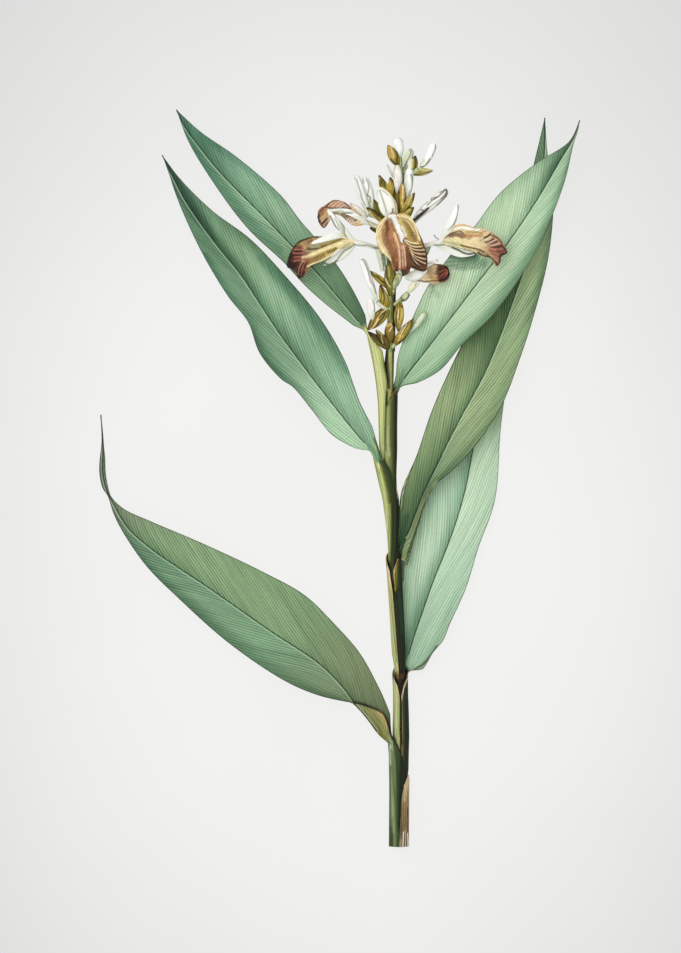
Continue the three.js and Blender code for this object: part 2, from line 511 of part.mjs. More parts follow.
function rowNormals(rows) {
  return rows.map((row, i) => row.map((point, j) => {
    const before = rows[Math.max(i - 1, 0)][j];
    const after = rows[Math.min(i + 1, rows.length - 1)][j];
    const left = row[Math.max(j - 1, 0)];
    const right = row[Math.min(j + 1, row.length - 1)];
    const lengthwise = new THREE.Vector3().subVectors(after, before);
    const across = new THREE.Vector3().subVectors(right, left);
    return lengthwise.cross(across).normalize();
  }));
}

function closedGeometry(positions, indices) {
  const geometry = new THREE.BufferGeometry();
  geometry.setAttribute('position', new THREE.Float32BufferAttribute(positions, 3));
  let volume = 0;
  const corner = (k) => new THREE.Vector3().fromArray(positions, 3 * k);
  for (let t = 0; t < indices.length; t += 3) {
    const [a, b, c] = [corner(indices[t]), corner(indices[t + 1]), corner(indices[t + 2])];
    volume += a.dot(b.cross(c));
  }
  geometry.setIndex(volume < 0 ? indices.toReversed() : indices);
  return geometry;
}

// A thin solid of even thickness over rows of points, both faces split alike
function slab(rows, thickness) {
  const normals = rowNormals(rows);
  const width = rows[0].length;
  const layer = rows.length * width;
  const positions = [];
  for (const side of [0.5, -0.5]) {
    rows.forEach((row, i) => row.forEach((point, j) => {
      positions.push(...point.clone().addScaledVector(normals[i][j], side * thickness));
    }));
  }
  const indices = [];
  const quad = (a, b, c, d) => indices.push(a, b, c, a, c, d);
  const last = rows.length - 1;
  for (let i = 0; i < last; i += 1) {
    for (let j = 0; j < width - 1; j += 1) {
      const a = i * width + j;
      const d = a + width;
      quad(a, a + 1, d + 1, d);
      indices.push(layer + a, layer + d + 1, layer + a + 1, layer + a, layer + d, layer + d + 1);
    }
  }
  const steps = (count, place) => Array.from({ length: count }, (_, k) => place(k));
  const rim = [
    ...steps(width - 1, (j) => j),
    ...steps(last, (i) => i * width + width - 1),
    ...steps(width - 1, (j) => last * width + width - 1 - j),
    ...steps(last, (i) => (last - i) * width),
  ];
  rim.forEach((a, k) => {
    const b = rim[(k + 1) % rim.length];
    quad(b, a, a + layer, b + layer);
  });
  return closedGeometry(positions, indices);
}

// Pushes the border of a sheet outwards, for the room that its neighbours leave it
function widenRows(rows, grow) {
  if (grow === 0) return rows;
  const pushed = rows.map((row) => row.map((point) => point.clone()));
  const last = rows.length - 1;
  const push = (i, j, fromI, fromJ) => {
    const away = new THREE.Vector3().subVectors(rows[i][j], rows[fromI][fromJ]).normalize();
    pushed[i][j].addScaledVector(away, grow);
  };
  rows.forEach((row, i) => {
    push(i, 0, i, 1);
    push(i, row.length - 1, i, row.length - 2);
  });
  rows[0].forEach((_, j) => {
    push(0, j, 1, j);
    push(last, j, last - 1, j);
  });
  return pushed;
}

function gridRows(surface, [rowCount, columnCount]) {
  const columns = Array.from({ length: columnCount + 1 }, (_, j) => -1 + (2 * j) / columnCount);
  return Array.from({ length: rowCount + 1 }, (_, i) => columns.map((v) => surface(i / rowCount, v)));
}

// A round body along a curve: a cylinder whose rings follow the line and its radii
function bentBody(line, radii, [rings, sides], grow) {
  const curve = curveThrough(line);
  const geometry = new THREE.CylinderGeometry(1, 1, 1, sides, rings);
  geometry.deleteAttribute('normal');
  geometry.deleteAttribute('uv');
  const body = mergeVertices(geometry);
  const position = body.getAttribute('position');
  const up = new THREE.Vector3(0, 0, 1);
  for (let k = 0; k < position.count; k += 1) {
    const u = THREE.MathUtils.clamp(position.getY(k) + 0.5, 0, 1);
    const tangent = curve.getTangentAt(u);
    const side = new THREE.Vector3().crossVectors(tangent, up).normalize();
    const other = new THREE.Vector3().crossVectors(side, tangent);
    const radius = along(radii, u) + grow;
    const point = curve.getPointAt(u)
      .addScaledVector(side, position.getX(k) * radius)
      .addScaledVector(other, position.getZ(k) * radius)
      .addScaledVector(tangent, grow * (2 * u - 1));
    position.setXYZ(k, ...point);
  }
  return body;
}

function toSolid(geometry) {
  const welded = mergeVertices(geometry);
  return new wasm.Manifold(new wasm.Mesh({
    numProp: 3,
    vertProperties: new Float32Array(welded.getAttribute('position').array),
    triVerts: new Uint32Array(welded.index.array),
  }));
}

function toGeometry(solid) {
  const mesh = solid.getMesh();
  const geometry = new THREE.BufferGeometry();
  geometry.setAttribute('position', new THREE.BufferAttribute(mesh.vertProperties, 3));
  geometry.setIndex(new THREE.BufferAttribute(mesh.triVerts, 1));
  return geometry;
}

function join(geometries) {
  return geometries.map(toSolid).reduce((whole, piece) => whole.add(piece)).simplify(WELD);
}

// What is left of a piece beside its neighbours; loose scraps are dropped
function seatedBeside(solid, neighbours) {
  const cut = neighbours.reduce((rest, neighbour) => rest.subtract(neighbour), solid);
  return cut.simplify(WELD).decompose().sort((a, b) => b.volume() - a.volume())[0];
}

const part = new THREE.Group();

function addPiece(name, geometry, { color, roughness }) {
  const material = new THREE.MeshStandardMaterial({ color, roughness, metalness: 0 });
  const mesh = new THREE.Mesh(geometry, material);
  mesh.name = name;
  part.add(mesh);
}

function caneGeometry() {
  const positions = [];
  for (const [y, radius] of CANE_PROFILE) {
    const middle = shootMiddle(y);
    for (let k = 0; k < CANE_SIDES; k += 1) {
      const angle = (2 * Math.PI * k) / CANE_SIDES;
      positions.push(middle.x + radius * Math.cos(angle), y, middle.z + radius * Math.sin(angle));
    }
  }
  const indices = [];
  for (let i = 0; i < CANE_PROFILE.length - 1; i += 1) {
    for (let k = 0; k < CANE_SIDES; k += 1) {
      const [a, b] = [i * CANE_SIDES + k, i * CANE_SIDES + ((k + 1) % CANE_SIDES)];
      indices.push(a, b, b + CANE_SIDES, a, b + CANE_SIDES, a + CANE_SIDES);
    }
  }
  const end = (CANE_PROFILE.length - 1) * CANE_SIDES;
  for (let k = 1; k < CANE_SIDES - 1; k += 1) {
    indices.push(0, k + 1, k, end, end + k, end + k + 1);
  }
  return closedGeometry(positions, indices);
}

// The dry scale left of an older leaf, curled round the right of the cut end
function oldScaleGeometry() {
  const stations = [
    [-192, -0.3, 0, 5.55, 5.55, 20, 40, 54], [-180, -0.3, 0, 5.55, 5.55, 20, 40, 50],
    [-168, -0.3, 0, 5.55, 5.55, 20, 38, 44], [-160, -0.2, 0, 5.65, 5.65, 22, 30, 34],
    [-154.5, 0, 0, 5.8, 5.8, 26, 8, 10],
  ];
  const columns = [-1, -0.5, 0, 0.5, 1];
  return slab(stations.map((station) => sheathRow(station, columns, 1)), LEAF_THICKNESS);
}

// A pointed, keeled blade that stands on the rachis by its foot
function bractRows([base, tip, width]) {
  const from = new THREE.Vector3(...base);
  const length = new THREE.Vector3(...tip).sub(from);
  const side = new THREE.Vector3(length.y, -length.x, 0).normalize();
  const out = new THREE.Vector3().crossVectors(side, length).normalize();
  const { foot, belly, tipTaper, bow, keel } = BRACT_SWELL;
  return gridRows((u, v) => {
    const swell = foot + belly * Math.sin(Math.PI * u ** 0.9) ** 0.8;
    const half = width * swell * (1 - tipTaper * u ** 6);
    const rise = bow * length.length() * Math.sin(Math.PI * u) - keel * half * v * v;
    return from.clone().addScaledVector(length, u).addScaledVector(side, v * half)
      .addScaledVector(out, rise);
  }, BRACT_GRID);
}

function rachisLine() {
  const above = SHOOT_LINE.filter(([, y]) => y > RACHIS_START[1]);
  return [RACHIS_START, ...above].map(([x, y]) => [x, y, axisHeight(y)]);
}

// The rachis with the pedicels and bracts that grow from it; grow gives the room round it
function flowerStalkSolid(grow) {
  const rachis = bentBody(rachisLine(), RACHIS_RADII, RACHIS_GRID, grow);
  const pedicels = PEDICELS.map((points) => {
    const radii = points.map(([, , , radius]) => radius);
    return bentBody(points, radii, [points.length, PEDICEL_SIDES], grow);
  });
  const bracts = BRACTS.map((bract) => (
    slab(widenRows(bractRows(bract), grow), BRACT_THICKNESS + 2 * grow)
  ));
  return join([rachis, ...pedicels, ...bracts]);
}

function budSolid([line, radius], grow) {
  const radii = BUD_SWELL.map((share) => share * radius);
  return toSolid(bentBody(line, radii, BUD_GRID, grow));
}

// A petal is a strap with a round end, cupped along its line
function petalRows([line, width]) {
  const curve = curveThrough(line);
  const { foot, belly, roundEnd, cup } = PETAL_SWELL;
  return gridRows((u, v) => {
    const tangent = curve.getTangentAt(u);
    const side = new THREE.Vector3(tangent.y, -tangent.x, 0).normalize();
    const swell = foot + belly * Math.sin(Math.PI * Math.min(u, roundEnd) ** 0.85);
    const half = 0.5 * width * swell;
    const point = curve.getPointAt(u).addScaledVector(side, v * half);
    point.z -= cup * half * v * v;
    return point;
  }, PETAL_GRID);
}

function petalSolid({ tube, petals }, grow) {
  const radii = tube.map(([, , , radius]) => radius);
  const tubeBody = bentBody(tube, radii, TUBE_GRID, grow);
  const blades = petals.map((petal) => (
    slab(widenRows(petalRows(petal), grow), PETAL_THICKNESS + 2 * grow)
  ));
  return join([tubeBody, ...blades]);
}

function lipSolid({ lip }, grow) {
  const rows = gridRows(bladeSurface(lip), LIP_GRID);
  return toSolid(slab(widenRows(rows, grow), PETAL_THICKNESS + 2 * grow));
}

addPiece('cane', caneGeometry(), CANE_GREEN);
addPiece('old_scale', oldScaleGeometry(), DRY_BROWN);
for (const [name, leaf] of Object.entries(LEAVES)) {
  addPiece(name, slab(leafRows(leaf), LEAF_THICKNESS), leaf.material);
}
addPiece('flower_stalk', toGeometry(flowerStalkSolid(0)), BRACT_OLIVE);

const rooms = [flowerStalkSolid(SEAT_GAP)];
const seatPiece = (name, make, material) => {
  addPiece(name, toGeometry(seatedBeside(make(0), rooms)), material);
  rooms.push(make(SEAT_GAP));
};
for (const [name, flower] of Object.entries(FLOWERS)) {
  seatPiece(`${name}_petals`, (grow) => petalSolid(flower, grow), PETAL_WHITE);
}
for (const [name, bud] of Object.entries(BUDS)) {
  seatPiece(name, (grow) => budSolid(bud, grow), PETAL_WHITE);
}
for (const [name, flower] of Object.entries(FLOWERS)) {
  seatPiece(`${name}_lip`, (grow) => lipSolid(flower, grow), LIP_TAN);
}

// The origin is the middle of the part's footprint, on the surface that it lies on
const bounds = new THREE.Box3().setFromObject(part);
const middle = bounds.getCenter(new THREE.Vector3());
part.position.set(-middle.x, -middle.y, -bounds.min.z);

export default part;
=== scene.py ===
# %% [markdown]
# # A cut flowering ginger shoot, dressed for the camera
# The shoot lies on its back on a pale table, and the camera looks straight down on it.
# Every leaf of the real plant is one sheet: a sheath that is rolled round the stem and
# opens into the blade. So each leaf is made here as one surface too, with the same
# lines as the solid it stands for, but with many more rows, a midrib and painted veins.

# %% The frame
import math

import bpy
import numpy as np
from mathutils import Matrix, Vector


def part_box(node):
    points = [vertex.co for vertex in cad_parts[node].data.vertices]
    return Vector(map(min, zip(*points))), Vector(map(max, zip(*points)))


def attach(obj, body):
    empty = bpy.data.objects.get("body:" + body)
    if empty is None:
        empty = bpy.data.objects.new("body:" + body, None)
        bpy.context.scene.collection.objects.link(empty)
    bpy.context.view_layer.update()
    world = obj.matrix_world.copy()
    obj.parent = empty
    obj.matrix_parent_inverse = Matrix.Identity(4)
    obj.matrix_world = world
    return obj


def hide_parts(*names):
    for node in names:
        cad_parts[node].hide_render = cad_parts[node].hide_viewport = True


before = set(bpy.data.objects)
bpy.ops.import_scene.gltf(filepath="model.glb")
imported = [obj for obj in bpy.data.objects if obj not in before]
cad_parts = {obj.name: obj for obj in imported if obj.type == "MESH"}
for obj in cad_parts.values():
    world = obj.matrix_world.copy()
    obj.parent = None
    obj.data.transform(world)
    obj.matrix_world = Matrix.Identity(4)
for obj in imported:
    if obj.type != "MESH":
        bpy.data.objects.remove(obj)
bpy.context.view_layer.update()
print("solids in the frame:", len(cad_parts))

# %% [markdown]
# The lines below are in millimetres, before the part was centred on its footprint.
# One shift takes them to the frame, and one factor to metres. The camera comes first:
# a long lens far above the table, so that near leaves aren't drawn larger than low ones.

# %% Units and camera
MM = 0.001
FOOTPRINT_SHIFT = np.array([-0.7399, -0.1188, 0.0])
VIEW_CENTRE = (0.0003, 0.00066)
VIEW_HEIGHT = 0.4956
LENS_MM = 300.0
SENSOR_MM = 36.0
SHARP_LEVEL = 0.014

camera_data = bpy.data.cameras.new("camera_above")
camera_data.lens = LENS_MM
camera_data.sensor_width = SENSOR_MM
camera_data.clip_end = 20.0
camera = bpy.data.objects.new("camera_above", camera_data)
camera.location = (*VIEW_CENTRE, SHARP_LEVEL + VIEW_HEIGHT * LENS_MM / SENSOR_MM)
bpy.context.scene.collection.objects.link(camera)
bpy.context.scene.camera = camera
print("camera height in metres:", round(camera.location.z, 3))

# %% [markdown]
# The light is a studio's: an even pale surrounding, and one soft box that hangs high
# over the upper left, so that every part is a little lighter on its left.

# %% Light
SURROUND = 0.78
SOFT_BOX_WATTS = 3.4
SOFT_BOX_SIDE = 0.55
SOFT_BOX_PLACE = (-0.22, 0.26, 0.95)
MIDDLE = (0.0, 0.0, 0.0)

bpy.context.scene.view_settings.view_transform = "Standard"
world = bpy.data.worlds.new("pale_room")
world.use_nodes = True
world.node_tree.nodes["Background"].inputs["Color"].default_value = (1.0, 1.0, 1.0, 1.0)
world.node_tree.nodes["Background"].inputs["Strength"].default_value = SURROUND
bpy.context.scene.world = world


def soft_box(name, place, aim, size, watts):
    """A square area light at place that faces aim, hidden from the camera."""
    data = bpy.data.lights.new(name, "AREA")
    data.shape = "SQUARE"
    data.size = size
    data.energy = watts
    lamp = bpy.data.objects.new(name, data)
    lamp.location = place
    direction = np.array(aim) - np.array(place)
    pitch = math.acos(-direction[2] / np.linalg.norm(direction))
    lamp.rotation_euler = (pitch, 0.0, math.atan2(-direction[0], direction[1]))
    lamp.visible_camera = False
    bpy.context.scene.collection.objects.link(lamp)
    return lamp


lamp = soft_box("soft_box_upper_left", SOFT_BOX_PLACE, MIDDLE, SOFT_BOX_SIDE, SOFT_BOX_WATTS)
print("soft box height in metres:", round(lamp.location.z, 2))

# %% [markdown]
# ## Small helpers for finishes
# A procedural finish is a graph of nodes: a place goes in, and a colour and a bump come
# out. Each helper adds one node, so that a finish reads like a formula further down.

# %% Helpers for nodes


def node(tree, kind, inputs=None, **settings):
    """Adds a node; an input is linked if it is given a socket, and set if a value."""
    made = tree.nodes.new(kind)
    for key, value in settings.items():
        setattr(made, key, value)
    for key, value in (inputs or {}).items():
        if isinstance(value, bpy.types.NodeSocket):
            tree.links.new(value, made.inputs[key])
        else:
            made.inputs[key].default_value = value
    return made


def calc(tree, operation, *values):
    """One sum of the Math node over sockets or numbers."""
    return node(tree, "ShaderNodeMath", dict(enumerate(values)), operation=operation).outputs[0]


def spread(tree, value, low, high, to_low=0.0, to_high=1.0):
    """Maps low..high smoothly to to_low..to_high, held outside."""
    given = {"Value": value, "From Min": low, "From Max": high, "To Min": to_low, "To Max": to_high}
    made = node(tree, "ShaderNodeMapRange", given, interpolation_type="SMOOTHSTEP")
    return made.outputs["Result"]


def blend(tree, factor, first, second, mode="MIX"):
    """Mixes two colours by a factor."""
    made = node(tree, "ShaderNodeMix", {0: factor, 6: first, 7: second},
                data_type="RGBA", blend_type=mode)
    return made.outputs[2]


def grey(tree, value):
    """A colour whose three shares are one value."""
    return node(tree, "ShaderNodeCombineColor", {0: value, 1: value, 2: value}).outputs[0]


def noise(tree, vector, scale, detail=2.0, roughness=0.5):
    """The value of a Noise texture, about 0.5 on average."""
    given = {"Vector": vector, "Scale": scale, "Detail": detail, "Roughness": roughness}
    return node(tree, "ShaderNodeTexNoise", given).outputs[0]


def carried(tree, name, output="Fac"):
    """What each point carries under a name: a number, or its colour."""
    return node(tree, "ShaderNodeAttribute", attribute_name=name).outputs[output]


def new_material(name, roughness, gloss):
    """A material with its Principled shader, ready for its nodes."""
    material = bpy.data.materials.new(name)
    material.use_nodes = True
    shader = material.node_tree.nodes["Principled BSDF"]
    shader.inputs["Roughness"].default_value = roughness
    shader.inputs["Specular IOR Level"].default_value = gloss
    return material, material.node_tree, shader


print("helpers for nodes are ready")

# %% [markdown]
# ## The table
# The table is a plain pale board that glows, painted light for a lamp behind it, so that
# shadows stay faint. Its glow and tone are painted brightest in the middle and fall off all round.

# %% Table
BOARD_HALF = 4.0
BOARD_TONE = 0.06
BOARD_GLOW = 0.825
BOARD_BRIGHTEST = (0.0, -0.03, 0.0)
BOARD_STRETCH = (1.4, 1.0, 1.0)
BOARD_LIGHT_FALLOFF = {"starts": 0.12, "ends": 0.44, "to": 0.785}
BOARD_MOTTLE = {"scale": 9.0, "darkest": 0.99, "lightest": 1.01}
BOARD_TINT = (1.0, 0.998, 0.99)

board_material, tree, shader = new_material("pale_board", 0.9, 0.1)
place = node(tree, "ShaderNodeTexCoord").outputs["Object"]
stretched = node(tree, "ShaderNodeVectorMath", {0: place, 1: BOARD_STRETCH}, operation="MULTIPLY")
away = node(tree, "ShaderNodeVectorMath", {0: stretched.outputs["Vector"], 1: BOARD_BRIGHTEST},
            operation="DISTANCE").outputs["Value"]
# painted light: glow and tone fall off away from the brightest place
fall = spread(tree, away, BOARD_LIGHT_FALLOFF["starts"], BOARD_LIGHT_FALLOFF["ends"], 1.0, BOARD_LIGHT_FALLOFF["to"])
mottle = spread(tree, noise(tree, place, BOARD_MOTTLE["scale"], 3.0), 0.2, 0.8,
                BOARD_MOTTLE["darkest"], BOARD_MOTTLE["lightest"])
paper = calc(tree, "MULTIPLY", fall, mottle)
# the glow is painted light, since the board is no lamp
for socket, strength in (("Base Color", BOARD_TONE), ("Emission Color", 1.0)):
    tint = [calc(tree, "MULTIPLY", paper, strength * share) for share in BOARD_TINT]
    mixed = node(tree, "ShaderNodeCombineColor", dict(enumerate(tint))).outputs[0]
    tree.links.new(mixed, shader.inputs[socket])
shader.inputs["Emission Strength"].default_value = BOARD_GLOW

board_mesh = bpy.data.meshes.new("pale_board")
signs = ((-1, -1), (1, -1), (1, 1), (-1, 1))
board_mesh.from_pydata([(BOARD_HALF * x, BOARD_HALF * y, 0) for x, y in signs], [], [(0, 1, 2, 3)])
board_mesh.materials.append(board_material)
board = bpy.data.objects.new("pale_board", board_mesh)
bpy.context.scene.collection.objects.link(board)
print("board side in metres:", 2 * BOARD_HALF)

# %% [markdown]
# ## The lines of the plant
# These are the same lines that the solids were made from: the middle of the shoot, the
# stations of each sheath, and the midrib and margins of each blade. They are written as
# text, a comma after each point, in millimetres. A station is its place along the shoot,
# the shift of its middle in x and z, its two radii, the angle of its back, and how far
# it wraps to either side, in degrees.

# %% The shoot and the leaves


def rows(text):
    """Rows of numbers from text: a blank between numbers, a comma between rows."""
    return [[float(word) for word in row.split()] for row in text.split(",")]


SHOOT_FOOT_HEIGHT = 4.7
SHOOT_RISE = 0.0635
SHOOT_LINE = rows("31.3 -192, 31.5 -165, 31.5 -140, 32.2 -112, 31 -84, 28.8 -43, 27.7 -10,"
    "26.6 20, 26.9 45, 27.3 72, 27.6 92, 28 108, 29.6 126, 31.5 144, 33.7 159")
LEAVES = {
    "leaf_lowest_left": {
        "hand": -1,
        "sheath": rows("-192 -.3 0 4.55 4.55 180 172 172, -168 -.3 0 4.55 4.55 180 172 172,"
            "-156 -.1 0 4.8 4.8 180 150 165, -150 0 0 5 5 180 125 150,"
            "-144 0 0 5.05 5.05 180 106 120, -138 -.5 0 5.05 5.05 180 84 75"),
        "midrib": rows("21.4 -133.6 8.4, 15.4 -125.9 9, 9 -118 9.9, 2.3 -108.9 10.8,"
            "-9.5 -97 11.5, -35.5 -79.5 11.5, -67 -57.5 9, -98 -36.5 6, -110 -25.5 4.8,"
            "-118 -12 3.8, -121.5 -4.5 3.5, -123 4 3.2, -122.8 16 2.4, -124 33 1.6"),
        "near": rows("26.5 -131, 24.5 -125, 21.5 -121.8, 13.8 -117.8, 5 -116.5, -10.5 -113,"
            "-28 -105.5, -57 -86, -83.5 -62.5, -100 -46, -112.5 -28, -117.5 -18, -120.4 -8.8,"
            "-122.8 -5.5, -124.5 2, -124.5 9, -123.6 18, -124 33"),
        "far": rows("29.6 -131, 27.6 -125, 24.8 -117.5, 21 -109, 11 -91, -2.5 -75.5, -17.5 -61,"
            "-40 -48.5, -72 -33.5, -98 -22.5, -112 -16, -118.5 -9.6, -120 -5.5, -121.4 2,"
            "-121.8 11, -122.4 18, -124 33"),
        "lift": {"near": [3.6, 2.6, 1.2, 0.4, -1.2, -0.6, 0, 0],
                 "far": [-3, 0, 2.5, 3, 2, 1, 0, 0]},
        "waves": [0.9, 3, 0.4],
    },
    "leaf_lowest_right": {
        "hand": 1,
        "sheath": rows("-165 -.2 0 3.3 3.3 -90 172 172, -152 .7 0 4.1 3.5 -90 172 172,"
            "-135 .9 0 4.15 3.75 -90 172 172, -113 .1 0 3.75 3.7 -88 172 172,"
            "-108 .1 0 3.75 3.75 -82 150 162, -104 .1 -.1 3.85 3.85 -74 110 134,"
            "-102 .1 -.2 3.95 3.95 -69 88 112, -100 .1 -.4 4 4 -64 62 86"),
        "mouth_drop": 2.4,
        "midrib": rows("36.8 -91 6.8, 39.2 -83 7.2, 45 -66 8, 50 -52 8, 55.5 -38.5 7.5,"
            "60.5 -25 7, 66 -6 6, 69.5 12 5, 73.5 31 4, 79 48.5 3, 85 63 2.2, 89.5 73 1.8"),
        "near": rows("36.9 -105, 40.4 -102.4, 44.4 -99, 49.2 -91, 54.5 -84.5, 58 -76, 66.5 -57,"
            "73 -36, 81.5 -11.5, 84.5 25, 88 53.5, 89.5 73"),
        "far": rows("34.2 -97, 34.3 -84, 33.5 -71, 33.2 -58, 32.4 -50, 32.6 -43.5, 37.6 -33,"
            "45 -13.5, 56.5 12, 71.5 44, 81 60.5, 89.5 73"),
        "lift": {"near": [2, 2.2, 1.5, 0.5, 0, 0.3, 0], "far": [-1.6, -0.6, 0.5, 1, 0.8, 0.4, 0]},
        "waves": [0.6, 4, 1.0],
    },
    "leaf_middle_right": {
        "hand": 1,
        "sheath": rows("-131 0 0 2.55 2.55 -85 172 172, -99 .1 0 2.55 2.55 -85 172 172,"
            "-92 0 0 3.3 3.3 -85 172 172, -84 0 0 3.45 3.45 -82 172 172,"
            "-60 0 0 3.6 3.6 -73 172 172, -48 0 0 3.75 3.75 -60 156 168,"
            "-42 -.2 0 3.95 3.95 -52 110 128, -37 -.1 -.2 3.9 3.9 -44 52 66"),
        "mouth_drop": 6,
        "midrib": rows("33.5 -33.3 12.6, 36.7 -27 13, 39.3 -19.8 13.6, 44.5 -7 14.6,"
            "51 6.8 15.6, 64.2 32.8 16, 75.7 54 15.4, 85 76.4 13.6, 92.3 96.7 11.6,"
            "100.6 121.2 8.6, 104.3 138.3 6, 106.5 157.5 2.6, 107.4 172 .35, 107.6 188 .35"),
        "near": rows("33.6 -54, 38.6 -34.5, 42.9 -19.8, 45.3 -12, 49.1 -4.7, 58 3, 68.5 13.5,"
            "84 36, 94 61, 102.5 87.5, 109.5 116, 112 144.5, 110.5 157.5, 108.8 172, 107.6 188"),
        "far": rows("31.4 -32, 31.4 -18, 33 -6, 40.5 11.5, 48.5 35, 60.5 62, 75.5 91.5,"
            "91.5 124, 99 152.5, 103.5 170.5, 107.6 188"),
        "lift": {"near": [2.5, 3, 2.5, 0.5, -0.5, -0.5, 0, 0],
                 "far": [-1.5, 0, 2, 2.5, 1.5, 0.5, 0, 0]},
        "waves": [0.7, 4, 2.0],
    },
    "leaf_middle_left": {
        "hand": 1,
        "sheath": rows("-86 0 0 2.4 2.4 180 172 172, -60 0 0 2.5 2.5 180 172 172,"
            "-38 0 0 2.55 2.55 180 172 172, -30 0 0 2.75 2.75 180 172 172,"
            "-20 -.1 0 3.6 3.6 180 170 172, -11 -.5 0 4.2 4.2 180 150 168,"
            "-3 -1.5 0 4.7 4.5 180 122 138, 5 -2.5 0 5.2 4.4 180 108 112,"
            "11 -3.7 0 5 4.1 180 78 84"),
        "midrib": rows("15.5 16 18.4, 11 21 19, -7 43.5 19.6, -30.5 75 17.4, -51 106 12.5,"
            "-61.5 119 9.3, -72 133 5.5, -80 145 2.2, -86 156.5 .35, -92 168.5 .35"),
        "near": rows("16.8 10.8, 11 14.5, 3.5 18, -4 23, -14 35.5, -23.5 47, -30 51.5, -41 65,"
            "-47 81, -57.5 94.5, -72 119, -84 145.5, -88.5 159, -92 168.5"),
        "far": rows("20.3 18.5, 18 25.5, 11 39.5, 7.5 49.5, 3.5 60.5, -9.5 83, -28 105.5,"
            "-46 124.5, -66 139.5, -82.5 156, -92 168.5"),
        "lift": {"near": [-2, -1, 1.5, 2.5, 1.5, 0.8, 0, 0],
                 "far": [2.5, 2.5, 2.5, 1, 0.5, 0.5, 0, 0]},
        "waves": [0.8, 4, 0.2],
    },
    "leaf_top_right": {
        "hand": 1,
        "sheath": rows("-18 0 0 2.5 2.5 -10 172 172, 0 0 0 2.6 2.6 -10 172 172,"
            "5 0 0 2.9 2.9 -10 172 160, 10 0 0 3.3 3.3 -10 165 145, 15 0 0 3.6 3.7 -10 155 125,"
            "20 0 0 3.7 3.85 -10 145 112, 37.5 0 0 3.7 3.85 -8 134 108,"
            "40.5 0 0 3.7 3.8 -7 108 98, 44 0 0 3.7 3.7 -5 76 84"),
        "midrib": rows("33 49.5 20, 37 55.5 20.6, 47.5 69 22, 68.5 96.5 24.4, 87.5 121.5 24.8,"
            "103 144.5 22, 116 166.5 17.4, 122 176.5 15.6, 125.5 186 14.6"),
        "near": rows("32.6 45.8, 40 49, 47.5 52.5, 54 57, 64.5 69.5, 79 83.5, 94.5 104.5,"
            "108 129.5, 117.5 154, 122.3 174, 124.4 180, 125.5 186"),
        "far": rows("30.3 50.5, 30.3 60, 33 70, 41.5 90, 46 99, 57.5 115, 70.5 130.5, 84 148,"
            "102 163, 119 174, 123 179.5, 125.5 186"),
        "lift": {"near": [1.5, 1, 0, -1.2, -1, -0.5, 0], "far": [-1.5, 0.5, 1.6, 1.6, 1, 0.5, 0]},
        "waves": [0.7, 4, 0.9],
    },
    "leaf_top_left": {
        "hand": 1,
        "sheath": rows("6.5 -1.9 0 2.4 .9 180 110 110, 11 -2.2 0 2.5 1.2 180 110 110,"
            "16 -2.7 0 2.6 1.7 180 112 112, 24 -2.8 0 2.6 2.2 180 112 112,"
            "40 -3.2 0 3 2.3 180 105 105, 49 -3.8 0 3.5 3.3 180 105 124,"
            "59 -5.8 0 3.2 2.9 180 110 146, 66 -7.2 0 3.4 2.7 180 105 145,"
            "70 -8.6 0 2.9 2.7 180 85 110, 74 -9.9 0 2.5 2.6 180 60 62"),
        "midrib": rows("11.5 79.5 22.4, 1.5 92 22, -11 106.5 20.5, -36 133 16, -60.5 158 10.5,"
            "-72 172 7.5, -80 183 5.4, -84.5 192 4.4"),
        "near": rows("14 73.6, 8.5 78.5, -7 90.5, -17.5 100, -28 111.5, -47 129.5, -64 152,"
            "-78.5 176, -84.5 192"),
        "far": rows("16.6 76.5, 14.5 83, 7 98.5, -5 116.5, -20 134, -30 147, -53.5 167.5,"
            "-72 180.5, -84.5 192"),
        "lift": {"near": [-1.5, 0.5, 2, 1.5, 1, 0.5, 0], "far": [1.5, 0.5, 0.5, 0.5, 0.5, 0.2, 0]},
        "waves": [0.6, 4, 1.6],
    },
}
print("leaves:", len(LEAVES))

# %% [markdown]
# ## The lines of the cane and the flower head
# The cane has a radius for each place along it, and near the flowers it leans a little
# to the left of the shoot's middle. A bract is its foot, its tip and its width. The
# points of pedicels and tubes end with a radius, and buds and petals have theirs after
# their line.

# %% The cane and the flower head
CANE_PROFILE = rows("-192 3.7, -175 3.6, -166.6 3.6, -165.5 2.45, -150 2.4, -133 2.35,"
    "-131.6 2.35, -131.2 1.85, -115 1.8, -100 1.8, -88.4 1.75, -87.8 2.3, -86.7 2.3,"
    "-86.3 1.65, -70 1.65, -52 1.65, -36 1.65, -20.4 1.65, -19.8 2.1, -18.7 2.1, -18.3 1.6,"
    "-5 1.6, 6 1.6, 13.6 1.6, 14.2 1.95, 15.3 1.95, 15.7 1.55, 28 1.6, 36 2.3, 45 2.4, 60 2.45,"
    "66.4 2.2")
CANE_BEND = rows("26 0, 38 -.75, 60 -.8, 66 -.4")
OLD_SCALE = rows("-192 -.3 0 5.5 5.5 20 64 50, -180 -.3 0 5.4 5.4 20 58 46,"
    "-168 -.3 0 5.4 5.4 20 55 40, -160 -.3 0 5.45 5.45 22 36 30, -154.5 -.2 0 5.6 5.6 24 3 3")
RACHIS_START = [27.2, 65.7]
RACHIS_RADII = [2.2, 2.2, 2.15, 1.85, 1.6, 1.5, 1.2]
